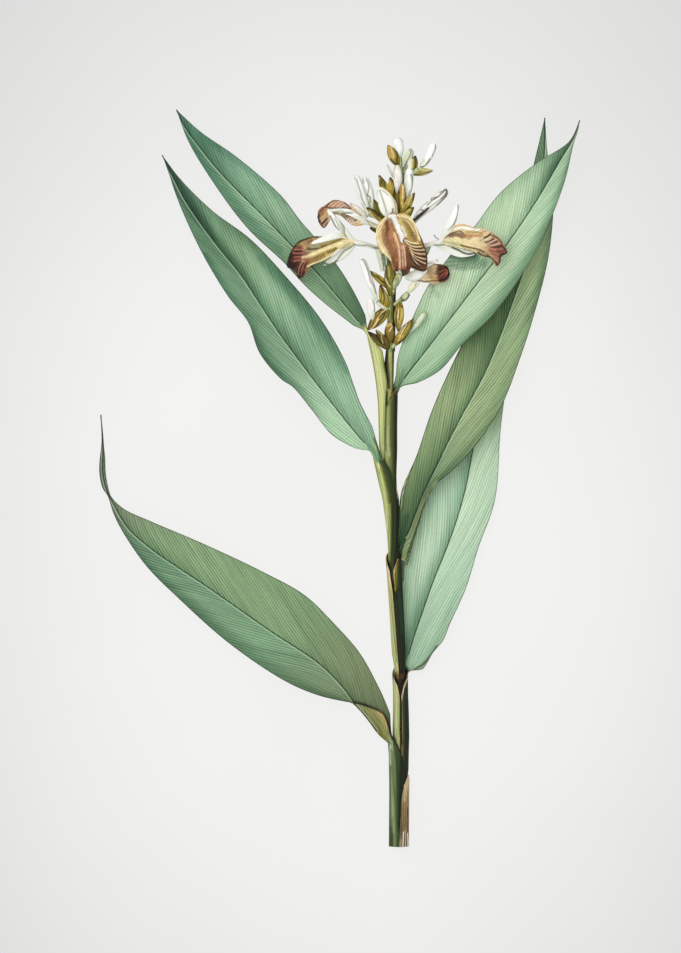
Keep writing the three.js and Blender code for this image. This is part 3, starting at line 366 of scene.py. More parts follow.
BRACTS = rows("31 162 28.6 25.6 172.2 34.4 5.4, 38.2 158.4 29.4 39.8 166.9 32 4.2,"
    "37.8 157.9 29.2 48.8 159.2 31.4 3.8, 28.6 139.5 27 21 156.8 30.5 5.4,"
    "29.6 142 27.4 26.8 155.8 30.6 5, 31.4 136.4 26.6 33.2 153.2 34.4 4.6,"
    "30.6 135 26.6 28.9 148 33.4 4, 31.4 134.4 26.6 39.4 147.6 34 4.6,"
    "31 131.8 26.4 39 140.2 34 4.4, 24.6 131.6 27 17.8 144.8 30.8 3.8,"
    "26.2 131 27.4 14.4 140.2 32 3.8, 24.6 128.4 26.6 16.2 129.6 28.6 4.4,"
    "26.8 98.3 24.4 16.2 107.3 28.4 3.6, 27.6 94.5 25 26.2 112.6 30 6.4,"
    "25.2 87.6 24.6 21.6 100 28.6 4.6, 26 88.4 24.4 15.2 76.8 27.6 6.4,"
    "31.8 91.2 25.4 30.9 76 28 5, 29 69 23.4 38.9 82.4 31 5, 26.4 69.8 23.2 26.3 81.4 27.8 5,"
    "26 66.9 23.2 15.4 75.8 28 4, 26.4 67.2 23.2 19.4 76.8 28.4 4")
PEDICELS = [
    rows("32.8 156.5 26.8 1.1, 32.2 161.4 27.6 1, 31.6 166.4 28.4 1.2"),
    rows("33.6 157.5 26.8 1, 34.4 160.8 28.2 1.1"),
    rows("33.4 156.8 26.8 1, 38 158 29 1.1, 41.4 159.8 30.2 1.4"),
    rows("31.6 143 26.2 1.2, 31 147.2 28.6 1.2"),
    rows("31.8 142.5 26.2 1.2, 35.6 145.2 28.8 1.2"),
    rows("30 130.5 25.6 1.2, 23 133.6 27.2 1.2, 17.6 139.2 28.4 1.3"),
    rows("21 134.8 27.4 1.1, 15.8 136.8 29.4 1.3"),
    rows("30.2 128.5 25.4 1.2, 34 130 28 1.1, 38 131.8 30.2 1.2"),
    rows("29.8 125 25.2 1.3, 29.8 127.4 28 1.3"),
    rows("29.4 125.5 25 1.2, 22.6 128.8 26.8 1.3"),
    rows("28.4 110.5 24.2 1.2, 25.2 114.5 26.6 1.1, 22.8 117.6 28.6 1.3"),
    rows("29 116 24.6 1.2, 35 118.4 28 1.1, 41.6 119.8 30.6 1.3"),
    rows("28 101.5 23.8 1.2, 29.4 105.4 26.2 1.3"),
    rows("28.4 108 24 1, 36 111 26 .9, 42.9 113.1 27.8 1.1"),
    rows("27.8 89.4 23 1, 31.4 91.6 25.2 .9, 33.4 93 26.4 1.3, 34.8 94.2 27.2 1.9,"
        "36 95.8 27.8 1.5"),
    rows("27.4 87.8 23.2 1.1, 23.6 88.2 25 1, 20.2 91.6 26.6 1.3"),
    rows("25.4 87.8 24.2 1, 19.4 83.6 25.6 1, 17.8 82 26.2 1.2"),
    rows("27.6 67.4 22 1.1, 29.4 69.6 23.6 1.1"),
    rows("27.8 93.8 23.4 1, 28.5 98 25.9 1.1"),
]
BUDS = {
    "bud_crown": (rows("31.6 166.6 28.6, 30.7 176.2 30.6"), 2.9),
    "bud_crown_right": (rows("34.5 161.2 28.4, 37.4 170.6 31"), 2.6),
    "bud_far_right": (rows("42 160.4 30.5, 46 165.2 32, 49.6 173.4 33"), 2.1),
    "bud_upper": (rows("31 147.6 28.9, 30.6 162.2 31.6"), 2.5),
    "bud_upper_right": (rows("35.9 145.6 29.1, 36.8 160.6 30.4"), 2.5),
    "bud_upper_left": (rows("15.6 137.2 29.7, 11.9 147.2 32, 8.5 156.8 33"), 2.5),
    "bud_two_lobed": (rows("17.4 139.6 28.8, 16.2 147.4 30, 13.2 155.8 31"), 2.4),
    "bud_striped": (rows("38.5 132.2 30.6, 42.6 137 33, 49.8 143 35, 56.2 149.4 36"), 2.7),
    "bud_right_low": (rows("36.3 96.3 28.1, 38.4 99.2 29.2, 41.5 102.8 30"), 2.0),
    "bud_left_long": (rows("19.9 92.1 26.8, 16.6 101 29, 12 113.6 31"), 2.1),
    "bud_left_low": (rows("17.6 82.4 26.4, 16.5 93 29"), 2.1),
    "bud_lowest_right": (rows("33.5 73.5 24.8, 41.4 81.2 27.2, 45.2 86.2 28.6"), 2.1),
    "bud_centre": (rows("28.6 98.4 26.2, 32.2 106.2 29"), 1.9),
    "bud_behind_lip": (rows("43.6 113.6 28.2, 46.9 121.8 30"), 1.9),
}
FLOWERS = {
    "flower_centre": {
        "tube": rows("29.9 127.8 28.6 1.4, 30.2 131.4 32 1.7, 30.9 135.6 35.4 2.3"),
        "petals": [
            (rows("29.6 134.4 34.4, 26.8 138 36, 24.2 144 37.4, 20.6 150.2 38"), 9.0),
        ],
        "lip": {
            "midrib": rows("30.8 136.6 36, 31.4 128 41, 32.5 119.6 43, 33 112.3 41.6,"
                "33.3 104.3 38"),
            "near": rows("34 137.2, 37.6 134.7, 41.3 127.4, 44.5 119.6, 46 112.3, 44.8 106.9,"
                "40.3 107.8, 37.7 109, 36.3 106, 33.3 104.3"),
            "far": rows("27.5 137.4, 24 134.8, 20.2 131, 19.4 124.5, 21 118.2, 26.4 112.9,"
                "28.4 107.8, 30.6 107, 31.6 108.6, 33.3 104.3"),
            "lift": {"near": [1, 1.5, 0.5, -1.5, -2, 0], "far": [1, 0.5, -0.5, -1.5, -1, 0]},
            "waves": [0.7, 5, 0.4],
        },
    },
    "flower_left": {
        "tube": rows("22.4 118.2 28.9 1.2, 14.3 120.8 33 1.2, 7.4 122 35.2 1.9"),
        "petals": [
            (rows("8.8 121.4 34.6, 1.4 115.4 33.4, -7.6 110.4 31.6"), 4.6),
            (rows("8.2 122.4 35.2, 3 127.6 36.6, -5.6 139 37"), 3.6),
        ],
        "lip": {
            "midrib": rows("8.4 121.9 35.6, .8 121 38, -9.6 118 38.4, -17.4 114.4 36.4,"
                "-24.2 108.2 32"),
            "near": rows("7.2 120.4, .8 118.4, -6.5 113.1, -14.8 108.7, -17.9 104.6, -20.4 103,"
                "-21.8 106.4, -24.2 108.2"),
            "far": rows("7.4 123.3, .8 124.2, -10.1 125, -16.4 124.2, -21.4 121.7, -25 116.3,"
                "-26.6 109.4, -24.2 108.2"),
            "lift": {"near": [0, -1, -2.5, -3, -2, 0], "far": [0, -0.6, -1, -2, -2.5, 0]},
            "waves": [0.6, 5, 0.1],
        },
    },
    "flower_upper_left": {
        "tube": rows("22.2 129.2 27.1 1.2, 16.4 131.8 29 1.2, 11.6 133.4 31 1.7"),
        "petals": [
            (rows("13.4 133 31.4, 4 138 34.2, -4.4 138.8 33.4"), 2.8),
        ],
        "lip": {
            "midrib": rows("11.4 134.2 31, 8.6 136.8 31.8, 3.9 138.3 32.4, -2.9 138.8 31.8,"
                "-8.4 137 30.2, -10.9 134.7 29"),
            "near": rows("12.6 132.8, 13.2 131.2, 7.6 130.8, 4.6 132.8, 1.8 135.6, -1.8 136.5,"
                "-4.4 133.6, -7.6 129.4, -9.8 131.8, -10.9 134.7"),
            "far": rows("11.4 136.4, 9.9 137.8, 6.5 140.7, 2.5 143, -2.1 144, -6.1 141.8,"
                "-10.1 138.9, -10.9 134.7"),
            "lift": {"near": [0, -1.4, -1.8, -1.4, 0], "far": [0, -1.6, -2.4, -2, 0]},
            "waves": [0.5, 4, 0.7],
        },
    },
    "flower_right": {
        "tube": rows("42 120 30.9 1.2, 48.6 121.2 34 1.2, 54.4 122.4 36.4 1.9"),
        "petals": [
            (rows("52.8 121.6 36, 58.2 131.4 39.4, 61.8 141.6 41"), 4.2),
            (rows("49.9 121.2 34.2, 56.4 119.4 35, 63.2 116.5 34.4, 70.5 116.2 32.6"), 5.0),
        ],
        "lip": {
            "midrib": rows("54.2 122.4 36.8, 62.1 125 39.8, 70.5 123.6 40.2, 78.8 120 38.2,"
                "87.4 116.3 34.6"),
            "near": rows("54.6 121, 61.1 119.4, 68.4 117.8, 74.6 114.8, 79.3 113.4, 81.6 109.4,"
                "83.4 111.2, 84.2 114.6, 87.4 116.3"),
            "far": rows("54.2 124.6, 58.6 129.6, 63.2 131.3, 69.4 129.8, 76.7 128.1,"
                "82.4 124.6, 86.3 119.6, 87.4 116.3"),
            "lift": {"near": [0, -1.4, -2.6, -3, -1.6, 0], "far": [0, -1, -1.6, -2, -1.4, 0]},
            "waves": [0.6, 5, 0.3],
        },
    },
    "flower_lower_right": {
        "tube": rows("29.8 106.2 26.6 1.3, 34.1 106 28.8 1.3, 38.4 105 30.4 2"),
        "petals": [
            (rows("37.6 105.6 30.6, 44.5 109.6 32.6, 52.2 113.2 32"), 2.8),
        ],
        "lip": {
            "midrib": rows("37.8 105 30.8, 45 105.8 33, 51.7 105.8 33.6, 57.7 105.6 31"),
            "near": rows("37.8 103.2, 45 101.2, 51.7 100.9, 56.2 102.4, 57.7 105.6"),
            "far": rows("37.8 106.9, 45 109.9, 51.7 110.7, 56.2 109.4, 57.7 105.6"),
            "lift": {"near": [0, -1.8, -2.4, -1.6, 0], "far": [0, -1.6, -2.2, -1.4, 0]},
            "waves": [0.3, 4, 0.5],
        },
    },
}
print("bracts:", len(BRACTS), "buds:", len(BUDS), "flowers:", len(FLOWERS))

# %% [markdown]
# ## Paints and strokes
# The plate is drawn with a fine pen and a brush, so the small parts get strokes, each
# laid over the plain tones of its piece. A line is a paint, half its width in
# hundredths of a millimetre, a strength in hundredths, and the points that it runs
# through, seen from above: the first point, and then the step to each next one, in
# tenths of a millimetre. A hatch is a row of short pen marks that cross such a line. It
# has three more numbers before its points, in hundredths: the gap between marks, how far
# they reach to either side, and how much they lean.

# %% Paints and strokes
# Besides the parts' own marks, strokes lay painted shade, painted shadows and painted highlights.
INKS = {
    "white": (252, 250, 244), "mist": (226, 232, 218), "pale": (210, 218, 178),
    "butter": (244, 226, 172), "cream": (240, 222, 172), "straw": (206, 198, 122),
    "sand": (236, 202, 158), "tan": (206, 166, 112), "gold": (206, 178, 76),
    "ochre": (166, 138, 52), "olive": (118, 112, 30), "leaf": (124, 148, 92),
    "sage": (160, 172, 140), "grey": (136, 140, 118), "shade": (74, 80, 58), "moss": (66, 60, 16),
    "pink": (226, 184, 164), "rose": (184, 118, 98), "rust": (170, 104, 66),
    "brown": (124, 72, 42), "umber": (84, 54, 20), "maroon": (104, 42, 32), "ink": (24, 16, 6),
    "pine": (34, 72, 52), "teal": (84, 140, 116), "fern": (146, 160, 98), "coal": (20, 26, 12),
    "forest": (34, 52, 16), "deep": (50, 102, 76), "khaki": (150, 146, 92),
}
STROKES = {
    "flower_centre_lip_apron": """
tan 187 60 226 1300 -5 -62 21 -63 26 -52
rust 135 70 252 1321 5 -52 13 -47 19 -68 7 -52
umber 94 80 247 1344 2 -34 6 -26
rose 104 40 261 1258 7 -26
umber 52 45 250 1274 9 -47 17 -41
hatch umber 22 85 88 166 -80 235 1290 4 -52 18 -52 18 -42 8 -31
hatch ink 18 60 120 88 -60 239 1269 11 -63 21 -52
hatch umber 19 60 83 135 70 273 1238 16 -47 12 -57
butter 104 95 244 1344 -25 -23 -16 -31 -2 -42 12 -42 22 -36 19 -26 9 -16
cream 62 60 235 1328 -17 -33 -2 -47 12 -42 24 -39
hatch tan 21 60 94 83 -80 223 1310 -9 -41 7 -47 21 -42 21 -31
umber 26 60 270 1347 6 -37 13 -31 18 -36 13 -37
sand 47 85 287 1269 14 -37 9 -36 5 -42 3 -36 -2 -31
sand 73 50 290 1258 9 -36
sage 62 55 260 1347 10 -26
white 130 100 282 1352 15 -31 13 -37 15 -31 7 -26
white 94 100 263 1354 26 1
mist 36 60 299 1347 9 -31 15 -32
straw 83 70 317 1331 16 -36 15 -37
white 52 70 328 1300 13 -31 7 -21
ochre 135 60 348 1326 16 -26 8 -26 8 -31
hatch umber 22 75 83 166 50 337 1333 22 -23 13 -26 8 -36
butter 68 95 304 1358 31 -4 30 -11 22 -20 16 -28 8 -31 7 -32
cream 47 60 320 1354 31 -7 26 -17 19 -27 9 -32
olive 62 35 335 1338 26 -17 16 -26 8 -31
cream 52 60 341 1336 24 -18 19 -30 9 -30
rose 125 70 332 1201 3 -41 4 -42 0 -26
pink 52 70 329 1196 1 -52 2 -47
sand 31 85 337 1201 5 -36 3 -37 3 -31
brown 114 70 358 1191 5 -42 5 -47
hatch umber 21 70 78 104 80 355 1186 7 -42 5 -52
brown 31 70 324 1175 1 -41 1 -42
umber 26 70 349 1191 2 -42 3 -36 2 -31
umber 31 70 369 1165 6 -42 2 -31
umber 177 75 393 1128 20 -20 26 -6
umber 135 70 417 1186 15 -21 13 -26
brown 125 60 380 1175 13 -26
hatch umber 26 90 94 114 30 384 1274 7 -26 7 -26
cream 42 95 343 1232 18 -11 21 -7 29 -2
umber 26 90 354 1220 23 -14 26 -4 31 3
cream 31 90 351 1217 21 -17 26 -6 28 1
ink 31 90 363 1199 21 -10 26 -3 29 3
sand 26 90 365 1194 22 -13 32 -4 24 1
ink 36 90 374 1181 19 -10 26 -4 26 2
sand 26 90 369 1182 20 -17 30 -7 29 -2
ink 36 95 377 1166 21 -14 26 -6 26 -3
sand 31 95 375 1167 23 -22 26 -9 29 -6
ink 36 95 387 1148 21 -13 21 -9 25 -8
sand 26 90 376 1156 22 -22 26 -15 28 -12
ink 31 90 385 1139 20 -18 24 -15 24 -11
sand 23 80 374 1146 21 -26 24 -21
ink 42 95 370 1156 9 -22 16 -25 22 -24
umber 31 60 413 1108 16 -16 21 -8
umber 62 90 380 1097 20 -10 24 -9 29 -2
ink 36 80 387 1090 26 -12 39 -6
umber 52 90 407 1295 15 -42 14 -36 13 -31 6 -37 2 -31 -2 -31
ink 31 70 426 1238 13 -37 11 -31 6 -36 0 -32
moss 114 95 332 1064 5 -14
moss 62 80 322 1071 27 -3
ink 47 90 334 1052 3 -10
brown 104 60 294 1113 8 -31
umber 57 80 294 1092 9 -18
ink 47 90 298 1076 7 -6
umber 47 70 301 1113 4 -26
umber 62 70 276 1139 8 -21 4 -21
""",
    "flower_left_lip_apron": """
ochre 114 70 23 1238 -31 -11 -31 -15
hatch umber 36 70 104 94 70 13 1229 -31 -10 -31 -16 -37 -10
moss 52 70 8 1243 -31 0 -37 -9
sage 135 70 -91 1224 -16 -18 -26 -8
moss 57 80 -81 1192 -31 -6 -47 -2
sage 52 55 -107 1175 -31 -4 -31 1
ochre 104 60 -70 1204 -26 -8
umber 47 80 -62 1203 -26 -7
tan 114 80 -127 1225 -32 -6 -31 -11 11 -17
hatch umber 31 60 99 114 40 -133 1227 -36 -10 -31 -18
umber 62 60 -138 1229 -21 -14
maroon 187 85 -200 1186 -16 -32 -15 -31
brown 125 50 -179 1165 -21 -26 -11 -26
rose 52 60 -179 1180 -26 2 -21 -1
ink 47 90 -192 1173 -21 -1 -18 3
rose 42 55 -185 1162 -26 0 -20 1
ink 42 85 -190 1154 -23 -2 -20 2
rose 36 50 -185 1146 -26 -2 -22 0
umber 36 80 -190 1139 -21 -3 -26 -1
rose 62 50 -182 1132 -23 -6 -21 -3
ink 135 90 -244 1149 -9 -26 -6 -21 17 -7 21 2
ink 62 85 -211 1116 -20 -7 -16 4
maroon 135 85 -192 1106 -13 -19 5 -21
rose 57 75 -179 1126 -14 -13 -13 -19
sand 31 70 -185 1123 -15 -17 -11 -16
ink 36 70 -192 1120 -19 -18 -10 -12
rose 36 60 -174 1118 -11 -21 -10 -26
ink 31 60 -181 1113 -11 -21 -5 -21
rose 31 50 -167 1118 -7 -21 -7 -21
ink 31 60 -171 1110 -6 -21 -4 -18
umber 47 60 -159 1123 -8 -21 -7 -20
maroon 125 70 -200 1092 -5 -31
umber 104 70 -213 1071 13 -26
ink 31 90 -183 1113 -14 -31 -5 -37
ink 31 90 -197 1115 -14 -28 -5 -29
ink 31 90 -167 1113 -10 -26 -10 -35
rose 26 80 -190 1113 -14 -31 -6 -32
ink 62 90 -237 1084 16 -23 16 -21 13 0 15 26
butter 99 100 68 1229 -34 -5 -37 -14 -36 -14 -36 -15 -37 -15 -36 -15
cream 94 70 70 1225 -36 -13 -37 -19
cream 73 70 -138 1154 -26 -8 -21 -5
ochre 88 65 -8 1186 -36 -14 -42 -18 -36 -15
hatch ink 36 85 114 88 -30 -8 1189 -21 -12 -28 -9
hatch umber 42 75 130 156 -60 -70 1152 -31 -15 -37 -14 -26 -10
butter 52 90 -3 1180 -26 -22 -31 -19 -36 -18 -37 -13 -26 -13
sage 42 60 55 1212 -32 -23 -31 -22
ink 47 100 -8 1164 -31 -24 -31 -17 -37 -15 -36 -14
umber 36 60 -143 1094 -19 -11 -10 -14
moss 68 90 -110 1248 -33 -3 -31 -11 -31 -14 -18 -19
ink 62 85 -224 1201 -17 -21 -8 -28 -8 -29
ink 36 70 -159 1241 -31 -12 -23 -14
""",
    # on every tube_and_petals piece: painted grey-green shade along lower and right edges, painted
    # white highlights
    "flower_left_tube_and_petals": """
mist 125 80 70 1206 -36 -23 -37 -31 -41 -29
white 62 70 70 1214 -41 -23 -42 -31 -42 -28
sage 62 70 62 1193 -31 -18 -23 -26 -21 -26 -31 -13 -26 5
grey 36 80 83 1208 -26 -19 -26 -13 -21 -24 -20 -27
shade 52 90 -11 1123 -18 -12 -22 -7 -24 7
straw 104 60 36 1253 -23 5
sage 114 75 13 1342 3 -32 7 -36
grey 42 75 3 1347 18 -26 8 -26 4 -37 11 -18
mist 83 80 -8 1331 11 -36 10 -31
white 52 80 -36 1368 18 -37 15 -36 11 -21
sage 52 70 -18 1342 13 -26 10 -32
shade 47 80 -44 1355 17 -32 17 -31 18 -25
shade 26 50 -29 1370 18 -23
grey 42 75 86 1207 31 -3 36 0 26 -9 37 -7
mist 36 40 75 1220 26 9 32 2
moss 42 80 185 1191 34 -2
shade 42 60 70 1219 13 -11
""",
    "flower_upper_left_lip_apron": """
pink 208 75 -39 1414 36 8 37 -8
brown 23 85 -65 1402 26 25 16 10
brown 23 85 -46 1401 23 22 26 15
brown 23 85 -25 1400 20 20 25 12
brown 23 85 -5 1399 18 16 23 7
brown 23 85 16 1398 16 10 19 2
tan 31 70 -55 1404 24 22 18 11
tan 31 70 -15 1401 21 20 23 7
umber 47 70 -65 1406 14 17 17 10 26 6 28 -4 19 -15 21 -19
moss 47 50 -65 1409 16 14
white 36 90 63 1425 28 -23
umber 47 85 -93 1383 12 14 21 5 31 -5 37 -1 31 2 26 -3
brown 73 60 -86 1388 21 -3 26 3
tan 104 70 -70 1378 10 -10 -10 -14
tan 135 50 -86 1368 0 -21
hatch umber 36 80 109 208 90 -91 1383 2 -26 8 -26 11 -26
ink 47 90 -60 1344 -12 -15 -12 -11
sand 36 85 -67 1352 -16 -16 -9 -12
sand 31 70 -71 1364 -15 -14 -8 -8
sand 31 60 -55 1336 -13 -15 -11 -16
ink 52 85 -101 1364 -4 -14 6 -19 8 -9
umber 52 70 -88 1316 5 -16 13 -8 10 11 7 18
sand 83 70 -55 1378 11 -21 0 -26
shade 36 60 -46 1331 14 -26
sage 83 70 18 1359 11 -15 2 -13
hatch umber 31 80 104 156 20 13 1355 21 0 26 -8 21 -11
hatch white 26 75 135 177 30 39 1336 21 -7 26 -6
sand 135 85 91 1323 21 8 21 -8 5 -13
ochre 62 70 86 1331 19 14 22 -1
umber 47 85 86 1334 15 13 19 4 16 -11 12 -19 7 -16
umber 42 70 39 1355 21 2 23 -3 18 1
ochre 94 60 138 1333 10 -21
""",
    "flower_upper_left_tube_and_petals": """
mist 135 80 122 1378 -41 2 -42 0
white 52 90 122 1386 -41 0 -52 4
sage 62 75 23 1380 -31 0 -15 -7
shade 47 80 70 1370 -31 2 -31 -4
grey 26 60 -39 1392 31 1 42 1
white 68 90 122 1362 -41 1 -42 -4
moss 36 75 117 1368 29 -8 23 -20 24 -21
straw 94 80 148 1349 21 -20 16 -17
umber 31 60 141 1344 14 -23 16 -23
""",
    "flower_right_lip_apron": """
cream 104 80 590 1282 42 10 52 -6 47 -5
white 68 90 601 1289 36 7 42 -6 46 -6
pink 62 60 611 1306 36 5 32 -5
sand 104 90 564 1274 26 24 31 14 37 6 41 -8 42 -13 36 -16
cream 52 80 606 1298 31 9 36 -2 37 -8 36 -11
tan 36 80 569 1274 26 20 26 10 32 2 31 -9 26 -7
brown 125 75 580 1255 31 3 26 -10
tan 125 80 653 1258 46 -2 42 -6
rust 83 50 642 1245 42 1
hatch umber 31 75 104 125 90 554 1246 31 9 36 3 37 -8
umber 42 80 549 1241 26 19 26 11 26 5 20 -17
ochre 47 70 663 1272 42 0 36 -5
rust 42 60 653 1251 41 1 42 -4
ochre 42 70 658 1229 31 11
cream 135 85 559 1230 47 -3 52 -6 57 -6 42 -5
cream 73 70 684 1232 41 8 32 -2
straw 73 50 580 1222 52 -10 52 -11
butter 83 70 757 1258 15 4
maroon 177 50 835 1186 15 -16
rose 156 50 788 1180 21 -20
brown 156 45 809 1212 20 -21 -5 -47
ink 52 95 753 1240 16 9 14 11
butter 47 80 762 1232 19 10 12 11
ink 47 90 759 1217 22 6 19 13
pink 47 80 772 1214 21 7 19 11
umber 42 90 786 1208 21 9 14 6
pink 47 70 788 1201 24 7 17 6
ink 47 80 788 1193 26 0 26 6
rose 47 70 777 1182 37 0 31 4
umber 36 80 783 1175 36 -5 31 2
umber 36 70 788 1162 26 -10 15 -8
rose 36 60 798 1165 21 -16 5 -26
umber 42 80 786 1255 19 -5 21 -9 17 -22
ink 47 85 842 1206 17 -20 16 -25
ink 57 90 876 1160 -23 -2 -15 -6 -2 -24 -7 -24 -7 -4 -6 13
ink 47 85 815 1113 -12 13 -18 16 -13 8
umber 52 85 632 1203 31 -8 31 -7 31 -7 26 -11
cream 47 70 647 1210 42 -9 42 -7
hatch umber 36 75 109 104 -80 715 1172 31 -9 31 -9
ink 52 90 723 1164 23 -15 29 -4
sage 73 60 543 1222 37 -7 36 -9
""",
    "flower_right_tube_and_petals": """
white 94 80 580 1310 15 47 16 42
grey 47 85 618 1409 1 -34 -11 -37 -16 -31 -25 -26
mist 62 60 559 1274 21 31
mist 114 80 606 1191 36 -14 37 -5
white 73 80 632 1189 36 -13 31 -3
pale 73 70 559 1212 31 -9
grey 52 60 564 1204 26 -10
shade 52 95 590 1192 31 -13 26 -14 32 -6 31 9
grey 42 80 497 1207 20 -2 26 3
pale 62 70 528 1219 31 1
""",
    "flower_lower_right_lip_apron": """
white 156 90 372 1054 31 7 31 7
mist 104 70 356 1040 37 3
white 52 80 377 1035 36 2
tan 36 85 393 1031 31 8 29 19
cream 36 80 413 1028 26 9 21 17
sand 229 80 460 1087 26 3 11 -24
tan 104 50 465 1056 32 0
hatch umber 26 50 99 234 90 460 1082 16 -21 21 -16
hatch umber 26 35 99 234 -90 460 1050 21 21 26 16
ochre 104 50 460 1033 37 2 26 0
umber 42 80 408 1024 37 -6 41 2 42 3
sand 31 70 424 1029 52 0
maroon 229 100 533 1082 5 -26 -5 -16
maroon 104 90 554 1076 0 -20
hatch ink 36 75 104 239 0 517 1047 9 26 7 22 21 -3
rust 36 60 528 1066 15 10 16 4
rust 36 50 528 1045 15 11 16 7
umber 47 85 509 1056 4 22 8 19 12 7
rose 36 70 562 1078 2 -15 -7 -18 -14 -12
ink 73 100 557 1092 12 -12 4 -18 -10 -19 -18 -14 -20 -7
umber 42 70 465 1102 32 4 20 0
""",
    "flower_lower_right_tube_and_petals": """
white 83 80 471 1108 20 13 16 9
grey 31 70 493 1142 17 -14 12 -18
grey 31 60 462 1110 24 2 26 -3
""",
    "flower_centre_tube_and_petals": """
mist 135 60 205 1477 0 -31 11 -42
white 125 80 247 1461 16 -41 3 -37
white 83 70 218 1414 13 -36 11 -21
pink 73 30 226 1446 16 -37
grey 36 80 213 1487 13 -36 11 -37 12 -39
grey 26 70 216 1490 21 -11 20 -18
grey 26 60 205 1492 -8 -26 -1 -31 11 -36
butter 47 90 209 1504 28 -11 24 -20 16 -29 11 -35 4 -36
umber 26 70 213 1509 29 -10 25 -22 16 -31 11 -37 3 -36
moss 47 80 280 1392 1 -17
shade 42 75 219 1366 10 -13 12 -7
sage 42 60 255 1360 21 6
""",
    # on every bud: painted shade along its right side and painted highlights on its left
    "bud_striped_club": """
umber 42 85 560 1487 -2 -26 -20 -26 -26 -24
ink 78 80 385 1331 23 18 26 24 24 19
shade 42 80 460 1411 19 22 4 23
grey 47 60 429 1406 31 22
shade 42 90 486 1437 26 16 24 20 15 16
shade 36 80 491 1449 21 5
shade 36 80 523 1475 24 14 10 7
shade 47 90 558 1494 1 -15 -12 -20 -16 -15
pink 47 50 497 1463 31 21
grey 52 60 528 1440 -31 -20 -32 -24
ink 62 95 465 1396 -17 -18 -24 -21 -31 -24
ink 36 90 403 1353 19 13 17 8
moss 47 80 427 1388 16 -6
sage 73 60 403 1375 26 22
""",
    "bud_crown_club": """
mist 52 60 333 1737 2 -31 -15 -21
""",
    "bud_crown_right_club": """
pale 125 90 341 1633 10 31 12 26
white 73 70 328 1654 13 31 15 19
grey 52 85 371 1702 4 -15 -8 -25 -11 -19 -11 -26
shade 36 70 353 1638 -9 -26
shade 36 60 323 1638 4 -21
""",
    "bud_far_right_club": """
pale 135 80 422 1628 17 13
grey 42 75 502 1721 -1 -26 -15 -29
moss 42 80 473 1652 -13 -21 -15 -17 -21 -4
""",
    "bud_upper_club": """
pale 135 70 302 1607 15 -5
grey 47 80 317 1615 10 -24 7 -31 -1 -31 -11 -31
pink 83 25 304 1570 7 -41
shade 26 50 291 1612 -4 -31 2 -31
""",
    "bud_upper_right_club": """
mist 104 70 348 1570 5 -41 1 -42
grey 68 85 377 1570 7 -31 1 -31 -6 -36
sage 52 70 370 1487 -7 -26
grey 31 60 345 1602 -4 -32
""",
    "bud_upper_left_club": """
mist 104 70 84 1550 12 -52 21 -52
grey 47 75 94 1546 9 -33 12 -36 7 -31 16 -35
pale 125 80 117 1414 16 -20
grey 36 50 84 1563 2 -19
""",
    "bud_two_lobed_club": """
white 73 70 131 1529 7 -31
grey 36 70 126 1552 5 -23
grey 47 75 143 1546 11 -20 3 -28 -4 -23
moss 42 75 148 1467 14 -13 5 -26
mist 83 60 136 1456 12 -36
straw 73 60 161 1435 1 -26
""",
    "bud_left_long_club": """
grey 47 80 122 1136 11 -18 12 -26 10 -26 7 -31 9 -21 14 -26 9 -31
pink 57 50 159 1035 3 -21
pale 83 60 169 983 12 -31
white 73 70 131 1092 12 -42 16 -52
""",
    "bud_left_low_club": """
pink 83 30 162 910 2 -31
grey 47 70 183 915 6 -26 -2 -26
pale 73 50 172 863 2 -19
""",
    "bud_lowest_right_club": """
pale 177 85 398 796 26 31 15 21
mist 68 80 408 816 21 23
leaf 31 80 380 768 13 33 18 31 20 24 17 4 9 -16 -9 -24 -21 -26 -29 -24 -21 -16
leaf 26 70 447 851 -4 -24 -21 -28
""",
    "bud_centre_club": """
pale 135 90 281 1000 15 28 13 20
straw 62 70 282 1019 16 24 10 13
fern 99 85 299 1033 2 -22 -7 -18
grey 42 85 308 1038 3 -24 -10 -25
sage 36 70 316 1059 5 -12
""",
    "bud_right_low_club": """
cream 83 60 372 978 15 29
grey 31 50 403 1006 -12 -22 -14 -17
moss 36 50 405 1016 -9 -18
""",
    "bud_behind_lip_club": """
sage 125 90 460 1180 3 18
grey 47 90 448 1203 17 0 10 -12 -3 -19 -10 -16
moss 42 70 463 1168 -5 -14
""",
    # painted highlight down the rachis's left and painted black shade along its right edge
    "rachis": """
sage 83 60 263 972 0 -46
pale 47 60 262 941 0 -31
leaf 73 70 266 910 0 -42 2 -41
straw 42 60 262 900 1 -42
moss 57 80 275 972 2 -46 -1 -52 1 -47
ink 83 100 287 988 2 -47 0 -57 0 -62 -6 -52 -2 -78
ink 47 90 255 948 13 19 15 16
leaf 73 90 257 658 32 0
fern 68 70 265 770 1 -52 0 -63
ink 62 95 288 770 0 -63 0 -62
moss 42 80 278 770 1 -63 0 -62
""",
    # painted highlights and painted shade on the pedicels and calyx tubes
    "pedicels": """
white 83 90 169 941 16 -21 20 -20 32 -16
straw 42 60 205 896 37 -17
moss 42 90 306 898 14 19 15 7
shade 42 90 327 960 -2 -21 12 -22 22 12 7 23
pale 88 90 346 943 5 16
pale 68 80 190 889 -5 -31
moss 36 70 333 1591 8 26
leaf 125 80 244 1165 5 -42 6 -47
pine 36 80 233 1165 6 -42 4 -41
pine 47 80 258 1165 5 -42 3 -31
mist 31 70 245 1154 5 -52
mist 42 80 216 1186 2 -42 5 -52
""",
